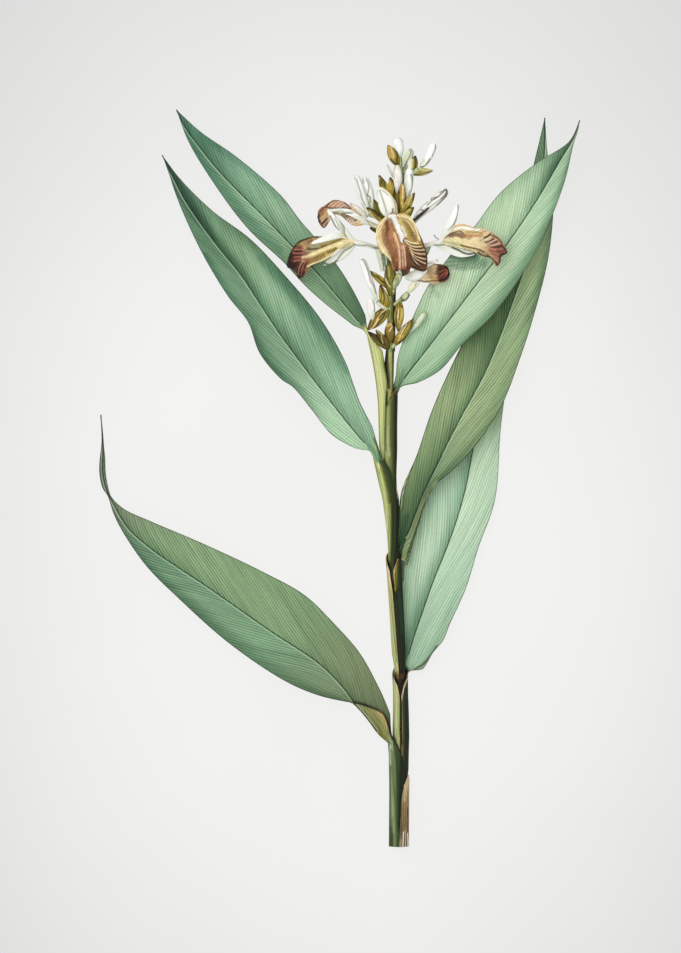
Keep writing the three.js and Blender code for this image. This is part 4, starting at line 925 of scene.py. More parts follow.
    # painted highlights and painted dark shaded edges on the bracts, over their own streaks
    "bracts": """
gold 94 70 261 1711 6 -26 11 -29
sand 36 90 270 1713 10 -21 11 -26
olive 62 80 289 1706 8 -26 -1 -32
rust 21 60 263 1700 7 -26 8 -20
rust 23 70 280 1704 2 -17 -7 -7 -4 13
sand 68 60 277 1690 10 -31
moss 52 90 270 1721 19 -12 13 -21 4 -27 -5 -37
moss 47 85 271 1652 12 -14 16 -14
moss 62 90 395 1664 5 -26 -4 -31 -10 -19
straw 47 80 384 1650 0 -28 -2 -26
straw 78 85 481 1600 -31 1 -37 -4
cream 42 70 479 1606 -24 1
moss 36 80 486 1586 -31 -4 -36 -10 -32 -2
moss 31 60 403 1598 31 9
olive 73 60 403 1582 26 5
straw 47 80 211 1555 -6 -26 2 -19
umber 42 80 221 1544 2 -20
moss 42 80 218 1565 15 -24 6 -28
gold 114 85 259 1529 3 -31
moss 52 95 268 1555 13 -21 10 -26 -2 -26
straw 31 70 251 1524 1 -26
moss 68 95 289 1479 -1 -28 8 -37 6 -36
ochre 47 70 299 1466 8 -36 4 -42
umber 52 80 311 1482 3 -36 -1 -37
ink 52 90 313 1484 2 -10
gold 94 95 330 1513 -2 -31 1 -31 1 -37
cream 47 90 335 1510 -1 -28 -2 -34
cream 42 80 328 1430 4 -29
rust 42 75 324 1498 0 -32
moss 47 90 343 1518 5 -29 1 -31 -6 -26
gold 104 90 363 1446 -7 -26
cream 47 90 379 1461 -13 -19 -10 -22
moss 57 95 392 1466 -6 -26 -12 -26 -18 -22
gold 42 80 384 1430 -12 -21
umber 31 70 370 1453 -12 -23 -9 -21
gold 83 80 369 1388 -15 -14
cream 31 70 367 1390 -18 -16
moss 62 90 391 1394 -6 -26 -11 -19
ochre 83 80 335 1383 -15 -8
umber 47 85 304 1404 11 -24 3 -16
ink 57 90 301 1362 19 -7 26 5 24 -11
olive 83 70 181 1430 4 -26 10 -26
leaf 52 50 181 1414 7 -20
moss 36 80 180 1446 -7 -21 -1 -19
moss 47 80 185 1440 13 -36 15 -40
moss 62 95 145 1402 19 -3 19 -16 22 -21 16 -15
ochre 47 70 159 1388 20 -17 21 -21
cream 83 95 157 1374 14 -17 17 -19 15 -10
pink 42 50 179 1349 16 -16
umber 36 80 151 1360 18 -20 23 -21
gold 62 70 211 1347 17 -21
moss 125 90 172 1295 18 -5 5 15
olive 52 70 181 1297 14 -4
moss 52 90 183 1274 2 -21 -2 -21
moss 52 95 162 1070 17 -14 21 -14 21 -18 19 -15
moss 36 85 179 1073 21 -9 21 -4 14 -8
gold 68 95 185 1062 24 -12 19 -15
leaf 36 60 177 1066 18 -5
umber 31 70 197 1054 19 -14
cream 42 85 244 1030 13 -23 11 -14
moss 47 85 250 1061 5 -31 12 -30
straw 42 70 257 1097 6 -26 -2 -26
umber 47 80 247 1113 -2 -26 2 -21
ink 62 90 271 1121 9 -17
olive 125 60 278 1066 -2 -31
moss 42 70 287 1082 5 -32 -14 -36
umber 42 70 244 1009 5 -26 8 -24
ink 52 90 215 999 9 -14 7 -23
moss 42 80 233 962 5 -31 -5 -26
gold 52 60 211 967 -2 -36
straw 42 70 200 967 0 -36 5 -24
moss 31 60 221 972 2 -36 -4 -26
moss 57 90 240 876 -29 -6 -21 -15 -18 -28 -11 -31 -8 -26
ochre 57 60 195 842 -16 -26 -10 -31
umber 47 80 219 860 -22 -26 -16 -28 -12 -29
cream 31 95 249 874 -21 -15 -15 -20 -11 -19 -14 -28 -21 -22
moss 42 95 246 866 -25 -22 -10 -14
umber 57 75 237 848 -18 -28 -17 -24
straw 26 60 231 834 -18 -26
moss 42 90 244 858 -15 -29 -20 -26 -24 -25
gold 104 80 327 874 1 -32 -8 -31
cream 42 90 314 876 -4 -23 -3 -23
umber 31 90 318 879 -1 -31 -3 -30
straw 36 80 330 876 0 -28 -5 -26
moss 42 90 302 863 -2 -31 -1 -31 5 -35
ochre 42 70 341 879 0 -26 -11 -31 -10 -32
olive 73 70 306 801 3 -26
moss 42 80 319 894 13 -8 9 -14
gold 135 90 341 775 -18 -35
cream 36 95 353 798 -16 -26 -13 -26
cream 31 85 337 785 -14 -24
sand 36 80 322 736 -11 -24
umber 31 90 361 801 -15 -29 -16 -28
umber 26 85 346 794 -16 -26 -11 -21
moss 52 90 379 818 0 -22 -9 -30 -19 -31 -21 -23 -15 -12
umber 31 80 375 822 -24 -19 -23 -23
olive 83 60 359 764 -13 -20
ink 42 85 315 700 20 12 18 19
gold 83 85 254 790 12 6
rust 42 50 261 783 -6 -19
cream 52 90 275 806 0 -12
cream 36 90 289 798 -13 -18 -13 -19
moss 42 80 242 796 0 -30 5 -33
umber 42 70 241 799 13 10 19 2
moss 104 80 174 754 21 -26 26 -26
umber 83 80 202 762 19 -34 16 -36
ink 52 95 155 754 16 7 -7 -15 10 -6
straw 31 80 197 770 14 -18 15 -5
straw 31 70 224 749 -1 -26 8 -23
ink 36 80 188 751 17 -28 21 -25
ink 36 80 213 780 8 -19
shade 52 80 228 806 2 -31
mist 42 70 218 792 4 -19
umber 36 70 240 738 -1 -31 8 -21
""",
    # painted shade: the cane's dark right side
    "cane_round": """
leaf 62 90 257 658 32 0
coal 99 95 245 666 1 -52 4 -52 7 -47 4 -47
moss 52 70 256 655 2 -52 5 -52 4 -41
fern 57 50 271 686 0 -72 1 -78 4 -89
moss 36 70 281 686 0 -83 1 -93 2 -73
ink 57 95 284 770 1 -104 2 -104 2 -115
coal 125 97 289 -426 7 -130 8 -182 11 -182 7 -89
ink 156 97 318 -967 4 -83 4 -104
forest 114 90 327 -1154 -1 -156 6 -156
coal 114 90 246 655 0 -52 3 -52 6 -52
ink 94 95 250 447 -2 -52 -1 -52
""",
    # on the leaf sheets: painted shade on blades and sheath sides, painted shadow in the sheath
    # mouths
    "leaf_top_left_sheet": """
deep 208 40 -814 1830 94 -166 135 -166 135 -167 146 -145
deep 208 35 -720 1789 166 -115 156 -124 125 -115
pine 156 35 34 1082 36 -104 52 -115 21 -73
olive 26 70 157 725 19 -91 16 -99 8 -77 9 -80 4 -102 2 -115
fern 83 60 221 614 16 -130 3 -104 -5 -104 -2 -104
umber 31 90 237 655 -1 -47 3 -41 10 -33 14 -32
brown 31 80 263 499 -4 -31 -2 -42
moss 36 90 255 421 -6 -26 -3 -47 -2 -62 -1 -68 0 -62
pale 26 60 171 697 19 -73 17 -104 11 -104
sand 21 50 195 614 19 -94 12 -104 0 -114
""",
    # painted shadow of the right flower on this leaf, and painted shade on its sheath
    "leaf_top_right_sheet": """
coal 73 90 254 416 -2 -21 -2 -21
moss 31 90 249 385 -2 -52 -2 -52 -1 -83 1 -63
fern 83 50 261 364 -2 -83 0 -83 6 -84
pale 31 45 258 270 -1 -72 6 -84
moss 18 60 272 395 -2 -119 2 -130
moss 78 60 283 395 1 -93 0 -104 3 -104 7 -104
coal 88 95 300 416 1 -114 0 -104 -1 -104 4 -104 5 -52
umber 31 95 261 408 12 10 16 14 17 12
shade 47 95 304 443 19 20 21 13 23 8 26 3 31 4
pine 94 30 313 478 12 37 16 47
deep 312 75 575 1165 36 -13 42 -8 52 2
pine 135 60 569 1177 42 -10 42 -11 52 -2
deep 208 40 559 1113 52 -13 73 -3 73 21
hatch pine 26 55 109 312 0 559 1123 52 -13 73 -8 83 11
pine 156 22 476 1014 21 -42 20 -26
pine 36 50 507 1035 -16 -47 -15 -52
pine 31 60 313 468 10 23 21 34 38 50 42 49
""",
    "leaf_middle_left_sheet": """
deep 312 50 -699 1144 83 -151 62 -99 57 -93 37 -99 36 -73 57 -78 84 -83
pine 208 35 -460 770 36 -89 47 -78
deep 260 35 -398 1144 115 -135 114 -141 104 -130 104 -176
pine 125 60 -876 1560 57 -94 78 -124 94 -104
teal 135 85 164 166 24 -31 19 -41
pine 62 90 188 198 17 -47 11 -42 2 -26
shade 52 90 122 148 31 -18 32 -40
forest 156 90 237 83 20 -47 19 -62 9 -73 -1 -119 -3 -130 -6 -110 -2 -98
forest 125 80 220 83 16 -41 12 -52 11 -52 9 -63
coal 125 95 287 -541 9 -93 7 -104 7 -120
forest 62 80 226 109 26 -52 21 -52 18 -57
coal 83 95 304 -83 2 -68 -1 -78 -2 -78 -5 -67 -7 -84
coal 52 60 281 -140 2 -104 -2 -120 -5 -125
olive 31 60 217 52 20 -52 18 -68 6 -72 0 -104 -4 -104 -4 -89
straw 21 85 218 156 24 -49 26 -53 21 -51 13 -55 6 -52
ink 26 80 223 158 24 -47 26 -53 21 -51 13 -54 4 -57
butter 52 70 203 78 8 -26
pale 36 50 219 10 18 -83 10 -93 5 -104
olive 26 70 188 83 18 -83 15 -99 14 -119 7 -130 7 -78
coal 88 90 261 -442 9 -62 10 -78 2 -52
""",
    "leaf_middle_right_sheet": """
ink 47 90 538 114 -31 -59 -26 -50 -38 -95 -45 -109 -38 -90 -30 -75 -7 -47
fern 94 55 497 -26 -44 -83 -36 -83 -37 -84 -27 -78 -16 -72
sage 42 60 512 -10 -47 -89 -36 -83 -36 -88 -32 -89
moss 31 90 536 -10 -50 -47 -41 -83 -40 -120 -38 -114 -32 -110
pine 156 50 356 -198 -17 -72 -11 -78
pine 26 80 370 73 -25 -73 -19 -73 -9 -83 -3 -114
pale 21 75 377 62 -25 -69 -18 -71 -9 -78
moss 23 85 384 55 -25 -69 -17 -69 -10 -78
coal 94 95 289 -556 7 -78 8 -104 10 -104 6 -104 4 -84
leaf 52 90 275 -582 3 -73 7 -94 9 -104 8 -104
coal 135 75 304 -582 11 -104 9 -104 8 -104 5 -94
pine 73 40 315 -593 10 -104 8 -104
tan 52 60 258 -572 4 -83 6 -73
umber 26 70 250 -426 1 -104 4 -104 10 -130 8 -130 5 -94
umber 88 95 309 -437 -10 -41 -8 -52
ink 135 97 292 -1030 10 -31 13 -41 10 -37
ink 135 97 330 -1009 -2 -41 -1 -52
forest 73 95 327 -1139 -1 -93 -2 -78 4 -73
olive 68 85 301 -426 -3 -73 -4 -83
sand 26 95 309 -322 -8 -63 -6 -52 -7 -62 -4 -63
sand 26 95 249 -411 7 -57 12 -62 12 -63 5 -26
ink 166 95 307 -1056 16 -36 6 -36
umber 135 80 296 -1019 24 -13 29 2
coal 104 90 341 -1071 -7 -31
""",
    "leaf_lowest_right_sheet": """
leaf 104 90 285 -988 2 -21 2 -31
coal 94 95 317 -1082 10 -36 29 83 -10 -31
leaf 47 90 318 -1175 -1 -83 -2 -84
moss 78 95 328 -1165 0 -73 -2 -72 7 -63 11 -52
coal 83 70 358 -1102 2 -115 -1 -119 -4 -89
umber 26 70 282 -1019 0 -135 0 -104 5 -73
pale 36 40 299 -1102 0 -104 3 -94
sand 26 95 365 -1030 -19 -46 -12 -37 -6 -34
sand 26 95 282 -1009 14 -41 15 -52 14 -45
shade 94 85 348 -385 -9 -57 -5 -57 0 -31
shade 73 90 369 -1019 31 24 37 23 41 44 34 54
forest 83 90 267 -1290 9 -41 18 -37
coal 73 60 348 -1154 1 -130 1 -130 1 -130
""",
    "leaf_lowest_left_sheet": """
khaki 177 95 167 -1210 33 -17 33 -31 17 -37
tan 73 70 205 -1219 32 -22 15 -38
olive 88 85 70 -1170 47 -40 47 -54 41 -52 37 -44
forest 42 80 60 -1172 52 -45 47 -57 41 -52 37 -42
khaki 57 80 122 -1190 42 -32 36 -42 31 -43 21 -35
olive 21 70 143 -1196 42 -40 36 -46 24 -39
ink 57 97 75 -1168 42 -7 39 -14 39 -15 36 -20 18 -29 13 -37 8 -36 15 -36 22 -34 21 -44 15 -52 5
 -63
pale 62 60 271 -1394 0 -93
forest 31 85 259 -1373 2 -93 0 -156 1 -130 -3 -162
fern 68 45 278 -1492 1 -130 1 -115
forest 114 85 292 -1383 10 -63 3 -72 3 -104 3 -130 3 -78
coal 88 90 328 -1446 -3 -83 -2 -93 -2 -104 -1 -84
forest 135 35 273 -1778 0 -146
forest 125 55 271 -1820 0 -104
forest 104 60 281 -1856 0 -68
forest 21 70 287 -1425 2 -119 1 -130 -1 -115
forest 21 60 272 -1498 -1 -124 1 -136
hatch forest 26 50 120 260 40 283 -1414 2 -260 0 -240
""",
    "old_scale_strip": """
cream 73 50 351 -1591 -7 -83
umber 18 85 341 -1612 -2 -88 -4 -104 -2 -110
umber 16 80 352 -1581 -3 -119 -2 -130 -2 -84
brown 18 80 360 -1622 -2 -130 -2 -104
ink 26 90 360 -1716 -1 -52
umber 52 50 360 -1789 -2 -62
white 23 90 339 -1841 -4 -78
pink 23 90 350 -1830 -2 -89
white 21 90 360 -1851 3 -68
umber 21 90 344 -1851 -1 -68
umber 21 90 355 -1862 1 -57
ink 26 80 329 -1622 -2 -130 -2 -130
umber 21 70 369 -1570 -2 -156 -1 -156
""",
}
print("pieces with strokes:", len(STROKES))

# %% [markdown]
# ## Smooth curves from a few points
# A centripetal spline passes through every point without loops, however unevenly the
# points are spaced. It is then walked by its own length, so that equal steps of u are
# equal distances on the leaf.

# %% Curves
WALK_SAMPLES = 801
SHOOT_SAMPLES = 2001
HEADING_STEP = 2e-3


def spline(points, t):
    """Centripetal Catmull-Rom: cubic pieces through the points, with knot gaps of the
    square root of the chord, and each tangent weighed from its neighbouring chords."""
    knots = np.asarray(points, float)
    ends = np.vstack([2 * knots[0] - knots[1], knots, 2 * knots[-1] - knots[-2]])
    place = np.clip(t, 0.0, 1.0) * (len(knots) - 1)
    k = np.minimum(place.astype(int), len(knots) - 2)
    w = (place - k)[:, None]
    p0, p1, p2, p3 = (ends[k + i] for i in range(4))

    def gap(a, b):
        """The square root of the distance between points, never quite nothing."""
        return np.maximum(np.sum((a - b) ** 2, axis=1, keepdims=True) ** 0.25, 1e-3)

    d0, d1, d2 = gap(p0, p1), gap(p1, p2), gap(p2, p3)
    m1 = ((p1 - p0) / d0 - (p2 - p0) / (d0 + d1) + (p2 - p1) / d1) * d1
    m2 = ((p2 - p1) / d1 - (p3 - p1) / (d1 + d2) + (p3 - p2) / d2) * d1
    bend = -3 * p1 + 3 * p2 - 2 * m1 - m2
    return p1 + m1 * w + bend * w ** 2 + (2 * p1 - 2 * p2 + m1 + m2) * w ** 3


def walk(points, u):
    """The points at shares u of the curve's length, and the length of the whole curve."""
    t = np.linspace(0.0, 1.0, WALK_SAMPLES)
    dense = spline(points, t)
    steps = np.linalg.norm(np.diff(dense, axis=0), axis=1)
    length = np.concatenate([[0.0], np.cumsum(steps)])
    return spline(points, np.interp(np.atleast_1d(u), length / length[-1], t)), length[-1]


def heading(points, u):
    """The unit tangents at shares u, from two points a little apart."""
    after, _ = walk(points, np.minimum(np.atleast_1d(u) + HEADING_STEP, 1.0))
    before, _ = walk(points, np.maximum(np.atleast_1d(u) - HEADING_STEP, 0.0))
    return (after - before) / np.linalg.norm(after - before, axis=1, keepdims=True)


def along(values, u):
    """Straight-line values spread evenly over u from 0 to 1."""
    return np.interp(u, np.linspace(0.0, 1.0, len(values)), values)


def smooth(low, high, x):
    """Smoothstep: 0 at low, 1 at high, 3t^2 - 2t^3 between, held outside."""
    t = np.clip((x - low) / (high - low), 0.0, 1.0)
    return t * t * (3.0 - 2.0 * t)


shoot_dense = spline(SHOOT_LINE, np.linspace(0.0, 1.0, SHOOT_SAMPLES))


def shoot_middle(y):
    """The middle of the shoot at a distance along it: x from its curve, z from its rise."""
    y = np.asarray(y, float)
    x = np.interp(y, shoot_dense[:, 1], shoot_dense[:, 0])
    z = SHOOT_FOOT_HEIGHT + SHOOT_RISE * (y - SHOOT_LINE[0][1])
    return np.stack([x, y, z], axis=-1)


print("middle of the shoot at y = 0:", shoot_middle(0.0).round(2))

# %% [markdown]
# ## Colour
# A leaf isn't one green: it gets painted light where it bulges and painted shade along the
# midrib, and it is tinted at the margin and the tip. Each half gets a few tones along its
# length. The tones are written as 0 to 255 and turned to light values here.

# %% Tones


def tone(*rgb):
    """A colour from 0..255 as linear light: ((c + 0.055) / 1.055) ^ 2.4."""
    share = np.array(rgb, float) / 255.0
    return np.where(share <= 0.04045, share / 12.92, ((share + 0.055) / 1.055) ** 2.4)


def toward(surface, share, shade):
    """Mixes a share of one shade into the tones of a surface."""
    return surface + share * (tone(*shade) - surface)


def tones_along(shades, u):
    """Straight-line mixing of a list of tones, spread evenly over u from 0 to 1."""
    table = np.array([tone(*shade) for shade in shades])
    return np.stack([along(table[:, k], u) for k in range(3)], axis=-1)


print("a middle grey is", tone(128).round(3), "in linear light")

# %% [markdown]
# ## Laying the strokes
# A stroke is a smooth curve through its points. Its paint is strongest on the curve and
# falls off at half the width, so it looks brushed. The piece's points are the canvas:
# each one asks how far it is from the curve, seen from above.

# %% Strokes
STROKE_SAMPLES = 5
EDGE_POWER = 4
END_CUT = 50.0


def near_line(places, line):
    """For each place: its distance from a curve through the points, the side it lies on,
    how far along the curve its nearest point is, and whether that is one of the ends."""
    dense = np.linspace(0.0, 1.0, STROKE_SAMPLES * len(line))
    knots = spline(line, dense) if len(line) > 2 else np.array(line)
    starts, steps = knots[:-1], np.diff(knots, axis=0)
    sizes = np.maximum(np.linalg.norm(steps, axis=1), 1e-6)
    away = places[:, None, :] - starts
    share = np.clip(np.sum(away * steps, axis=-1) / sizes ** 2, 0.0, 1.0)
    away = away - share[..., None] * steps
    distance = np.linalg.norm(away, axis=-1)
    k = np.argmin(distance, axis=1)
    order = np.arange(len(places))
    side = np.sign(away[order, k, 0] * steps[k, 1] - away[order, k, 1] * steps[k, 0])
    walked = np.concatenate([[0.0], np.cumsum(sizes)[:-1]])[k] + share[order, k] * sizes[k]
    beyond = (walked <= 0.0) | (walked >= np.sum(sizes) - 1e-9)
    return distance[order, k], side, walked, beyond


def read_stroke(row):
    """A row of text as its paint, its numbers, and the sums of its steps as a line."""
    words = row.split()
    hatched = words[0] == "hatch"
    first, count = (2, 5) if hatched else (1, 2)
    numbers = [int(word) / 100 for word in words[first:first + count]]
    steps = np.reshape([int(word) for word in words[first + count:]], (-1, 2))
    return words[first - 1], hatched, numbers, np.cumsum(steps, axis=0) / 10


def brushed(places, tones, seen, strokes):
    """Lays strokes over tones: strength * exp(-(distance / width)^4), and for a hatch
    strength * exp(-(marks / width)^4 - (distance / reach)^4), where marks is how far
    (walked + lean * side * distance) is from the middle of its gap."""
    for row in strokes.replace("\n ", " ").strip().splitlines():
        paint, hatched, (width, strength, *marks), line = read_stroke(row)
        margin = 2.0 * (marks[1] if hatched else width)
        inside = (places > line.min(axis=0) - margin) & (places < line.max(axis=0) + margin)
        near = np.all(inside, axis=1)
        if not near.any():
            continue
        distance, side, walked, beyond = near_line(places[near], line)
        fade = (distance / width) ** EDGE_POWER
        if hatched:
            gap, reach, lean = marks
            phase = ((walked + lean * side * distance) / gap) % 1.0 - 0.5
            across_marks, from_line = phase * gap / width, distance / reach
            fade = across_marks ** EDGE_POWER + from_line ** EDGE_POWER + END_CUT * beyond
        weight = strength * np.exp(-fade) * seen[near]
        tones[near] = toward(tones[near], weight[:, None], INKS[paint])
    return tones


print("strokes to lay:", sum(text.count("\n") - text.count("\n ") - 1 for text in STROKES.values()))

# %% [markdown]
# ## From a grid to a piece
# A sheet is two grids of points, one for each face, with a rim of quads round it. A
# round body is one grid that closes on itself, capped at both ends. The helper writes
# closed shells into a mesh, with their tones and the plain numbers that the finishes
# read: how far a point lies across the veins and along them, from the midrib, and from
# the margin.

# %% Grids of points


def grid_cells(lines, columns, wraps=False):
    """The four corners of every cell of a grid of lines by columns of points."""
    reach = np.arange(columns if wraps else columns - 1)
    i, j = np.meshgrid(np.arange(lines - 1), reach, indexing="ij")
    k = (j + 1) % columns
    corners = [i * columns + j, i * columns + k, (i + 1) * columns + k, (i + 1) * columns + j]
    return np.stack(corners, -1).reshape(-1, 4)


def grid_normals(points):
    """Unit cross product of the steps along and across a grid."""
    cross = np.cross(np.gradient(points, axis=0), np.gradient(points, axis=1))
    return cross / np.maximum(np.linalg.norm(cross, axis=-1, keepdims=True), 1e-9)


def rim_cells(lines, columns):
    """Quads that join the borders of two grids, the second of which follows the first."""
    across, down = np.arange(columns - 1), np.arange(lines - 1)
    ring = np.concatenate([across, down * columns + columns - 1,
                           lines * columns - 1 - across, (lines - 1 - down) * columns])
    ahead, layer = np.roll(ring, -1), lines * columns
    return np.stack([ring, ahead, ahead + layer, ring + layer], -1)


def cap_cells(first, sides):
    """Quads that cover one ring of an even number of points, from side to side."""
    k = np.arange(sides // 2 - 1)
    return first + np.stack([k, k + 1, sides - 2 - k, sides - 1 - k], -1)


def outward(points, faces):
    """Turns the faces of a closed shell outwards: the sum of a . (b x c) tells the way."""
    a, b, c, d = (points[faces[:, k]] for k in range(4))
    total = np.sum(a * np.cross(b, c)) + np.sum(a * np.cross(c, d))
    return faces if total > 0 else faces[:, ::-1]


print("cells in a grid of 3 by 4 points:", len(grid_cells(3, 4)))

# %% [markdown]
# ## Writing a piece
# A shell is a dictionary: its points, its faces, its tones, and the numbers of its
# points. Strokes are laid only on faces that look up, because the plate shows nothing of
# the rest.

# %% Pieces
FIELDS = ("across", "along", "rib", "rim")
FAR_FROM_ALL = 9.0
STROKES_FADE = (-0.05, 0.25)


def new_piece(name, shells, material, stands_for=None):
    """One piece from closed shells of quads, each with its points, faces and tones."""
    starts = np.cumsum([0] + [len(shell["points"]) for shell in shells])
    points = (np.concatenate([shell["points"] for shell in shells]) + FOOTPRINT_SHIFT) * MM
    faces = np.concatenate([outward(shell["points"], shell["faces"]) + start
                            for shell, start in zip(shells, starts)])
    mesh = bpy.data.meshes.new(name)
    mesh.from_pydata(points.tolist(), [], faces.tolist())
    heights = np.empty(3 * len(points), np.float32)
    mesh.vertex_normals.foreach_get("vector", heights)
    seen = smooth(*STROKES_FADE, heights[2::3])
    places = points[:, :2] / MM - FOOTPRINT_SHIFT[:2]
    for key in ("tones", "margin"):
        colour = np.ones((len(points), 4), np.float32)
        shades = np.concatenate([shell.get(key, shell["tones"]) for shell in shells])
        colour[:, :3] = np.clip(brushed(places, shades, seen, STROKES.get(name, "")), 0.0, 1.0)
        painted = mesh.attributes.new(key, "FLOAT_COLOR", "POINT")
        painted.data.foreach_set("color", colour.ravel())
    for field in FIELDS:
        values = [shell.get(field, np.full(len(shell["points"]), FAR_FROM_ALL)) for shell in shells]
        numbers = mesh.attributes.new(field, "FLOAT", "POINT")
        numbers.data.foreach_set("value", np.concatenate(values).astype(np.float32))
    mesh.shade_smooth()
    mesh.materials.append(material)
    piece = bpy.data.objects.new(name, mesh)
    bpy.context.scene.collection.objects.link(piece)
    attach(piece, "root")
    if stands_for:
        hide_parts(stands_for)
    print(f"{name}: {len(faces)} quads")


print("numbers that a point carries:", FIELDS)

# %% [markdown]
# ## Sheets and round parts
# Two shells serve for everything: a sheet with two faces and a rim, and a round body
# along a line. A round body brings painted light and shade in its tones, light at the upper left.

# %% Sheets and round parts
ROUND_LIGHT = {"x": 0.8, "y": -0.2, "from": -0.3, "to": 0.9}
FACING_DOWN = (0.1, -0.4)
DOWN_LIFT = 0.6


def sheet_shell(points, half_thickness, tones_up, tones_down, fields):
    """A sheet as a closed shell. Its faces lie half the thickness to either side of the
    points, and the second one is the face that looks up where the sheet lies open."""
    lines, columns = points.shape[:2]
    normals = grid_normals(points)
    if np.mean(normals[lines // 2:, :, 2]) < 0:
        normals = -normals
    both = np.concatenate([(points - normals * half_thickness[..., None]).reshape(-1, 3),
                           (points + normals * half_thickness[..., None]).reshape(-1, 3)])
    cells = grid_cells(lines, columns)
    faces = [cells[:, ::-1], cells + lines * columns, rim_cells(lines, columns)]
    shell = {"points": both, "faces": np.concatenate(faces),
             "tones": np.concatenate([tones_down.reshape(-1, 3), tones_up.reshape(-1, 3)])}
    for field, values in fields.items():
        shell[field] = np.tile(np.broadcast_to(values, (lines, columns)).ravel(), 2)
    return shell


def round_shell(line, radii, rings, sides, light, dark, lean=0.35, swell=None):
    """A round body along a line: rings at u = (1 - cos t) / 2, so that they crowd at the
    ends, with radius radii(u). Its tones carry painted light and shade: the light tone
    where it faces up and left, the dark tone where it faces right and down, mixed by
    smooth(0.8 x - 0.2 y - lean z), with less painted shade underneath."""
    u = 0.5 - 0.5 * np.cos(np.linspace(0.0, np.pi, rings))
    centre, length = walk([point[:3] for point in line], u)
    tangent = heading([point[:3] for point in line], u)
    side = np.cross(tangent, [0.0, 0.0, 1.0])
    side /= np.linalg.norm(side, axis=1, keepdims=True)
    other = np.cross(side, tangent)
    turn = np.linspace(0.0, 2 * np.pi, sides, endpoint=False)
    radius = along(radii, u)[:, None] * np.ones(sides)
    if swell is not None:
        radius = radius * swell(u[:, None], turn[None, :])
    ring = (np.cos(turn)[None, :, None] * side[:, None, :]
            + np.sin(turn)[None, :, None] * other[:, None, :])
    points = centre[:, None, :] + ring * radius[..., None]
    faces = [grid_cells(rings, sides, wraps=True), cap_cells(0, sides)[:, ::-1],
             cap_cells((rings - 1) * sides, sides)]
    facing = ring.reshape(-1, 3)
    # painted shade: the mix towards the dark tone follows which way each point faces
    shaded = facing[:, 0] * ROUND_LIGHT["x"] + facing[:, 1] * ROUND_LIGHT["y"] - facing[:, 2] * lean
    share = smooth(ROUND_LIGHT["from"], ROUND_LIGHT["to"], shaded)[:, None]
    share = share * (1.0 - DOWN_LIFT * smooth(*FACING_DOWN, facing[:, 2])[:, None])
    return {"points": points.reshape(-1, 3), "faces": np.concatenate(faces),
            "tones": toward(tone(*light), share, dark), "share": np.repeat(u, sides),
            "along": np.repeat(u * length, sides), "across": np.tile(turn * np.mean(radii), rings)}


print("helpers for pieces are ready")

# %% [markdown]
# ## How a blade is shaped
# The blade hangs between its midrib and its two margins, a little raised on either side
# and with a few long waves in it. The lips of the flowers are made by the same rule.

# %% Blades
NARROWEST_HALF = 0.3
LIFT_SHARES = (0.4, 0.6)
TIP_SQUARED = (0.96, 1.0)
WAVES_START, WAVES_END = (0.04, 0.2), (0.85, 1.0)
WAVE_LEAN = 0.2


def blade_grid(blade, u, v):
    """Rows at u from base to tip and columns at v, from the far margin at -1 through the
    midrib to the near margin at 1. A point is middle + |v| * (margin - middle), raised by
    lift * (0.4|v| + 0.6v^2) and by the wave height * v^2 * sin(2pi(count * u + phase + 0.2v))."""
    middle, length = walk(blade["midrib"], u)
    tangent = heading(blade["midrib"], u)
    halfway = walk(blade["near"], 0.5)[0][0, :2] - walk(blade["midrib"], 0.5)[0][0, :2]
    course = heading(blade["midrib"], 0.5)[0]
    near_side = np.sign(halfway[0] * course[1] - halfway[1] * course[0])
    square = np.stack([tangent[:, 1], -tangent[:, 0]], 1)
    square /= np.linalg.norm(square, axis=1, keepdims=True)
    spread_v = np.abs(v)
    grid = np.repeat(middle[:, None, :], len(v), axis=1)
    widths = np.zeros((len(u), len(v)))
    for key, side, share in (("near", 1, v >= 0), ("far", -1, v < 0)):
        offset = walk(blade[key], u)[0][:, :2] - middle[:, :2]
        width = np.maximum(np.linalg.norm(offset, axis=1), NARROWEST_HALF)
        squared = square * (side * near_side * width)[:, None]
        offset = offset + smooth(*TIP_SQUARED, u)[:, None] * (squared - offset)
        grid[:, share, :2] += offset[:, None, :] * spread_v[share][None, :, None]
        rise = LIFT_SHARES[0] * spread_v[share] + LIFT_SHARES[1] * spread_v[share] ** 2
        grid[:, share, 2] += along(blade["lift"][key], u)[:, None] * rise
        widths[:, share] = width[:, None]
    height, count, phase = blade["waves"]
    swing = np.sin(2 * np.pi * (count * u[:, None] + phase + WAVE_LEAN * v))
    fade = smooth(*WAVES_START, u) * (1.0 - smooth(*WAVES_END, u))
    grid[..., 2] += height * v ** 2 * swing * fade[:, None]
    return grid, widths, length


print("blades get", LIFT_SHARES, "of their lift by |v| and by v squared")

# %% [markdown]
# ## How a sheath is shaped
# The sheath is a rolled strip round the shoot, wider than one turn where it is closed.
# Where it opens, the rolled section is eased into the flat blade over nine millimetres,
# as the real one does, so sheath and blade are one grid of points.

# %% Sheaths
LEAF_COLUMNS = 57
COLUMN_POWER = 1.25
ROW_STEP = 1.25
ROW_POWER = 1.05
OPENING_LENGTH = 9.0


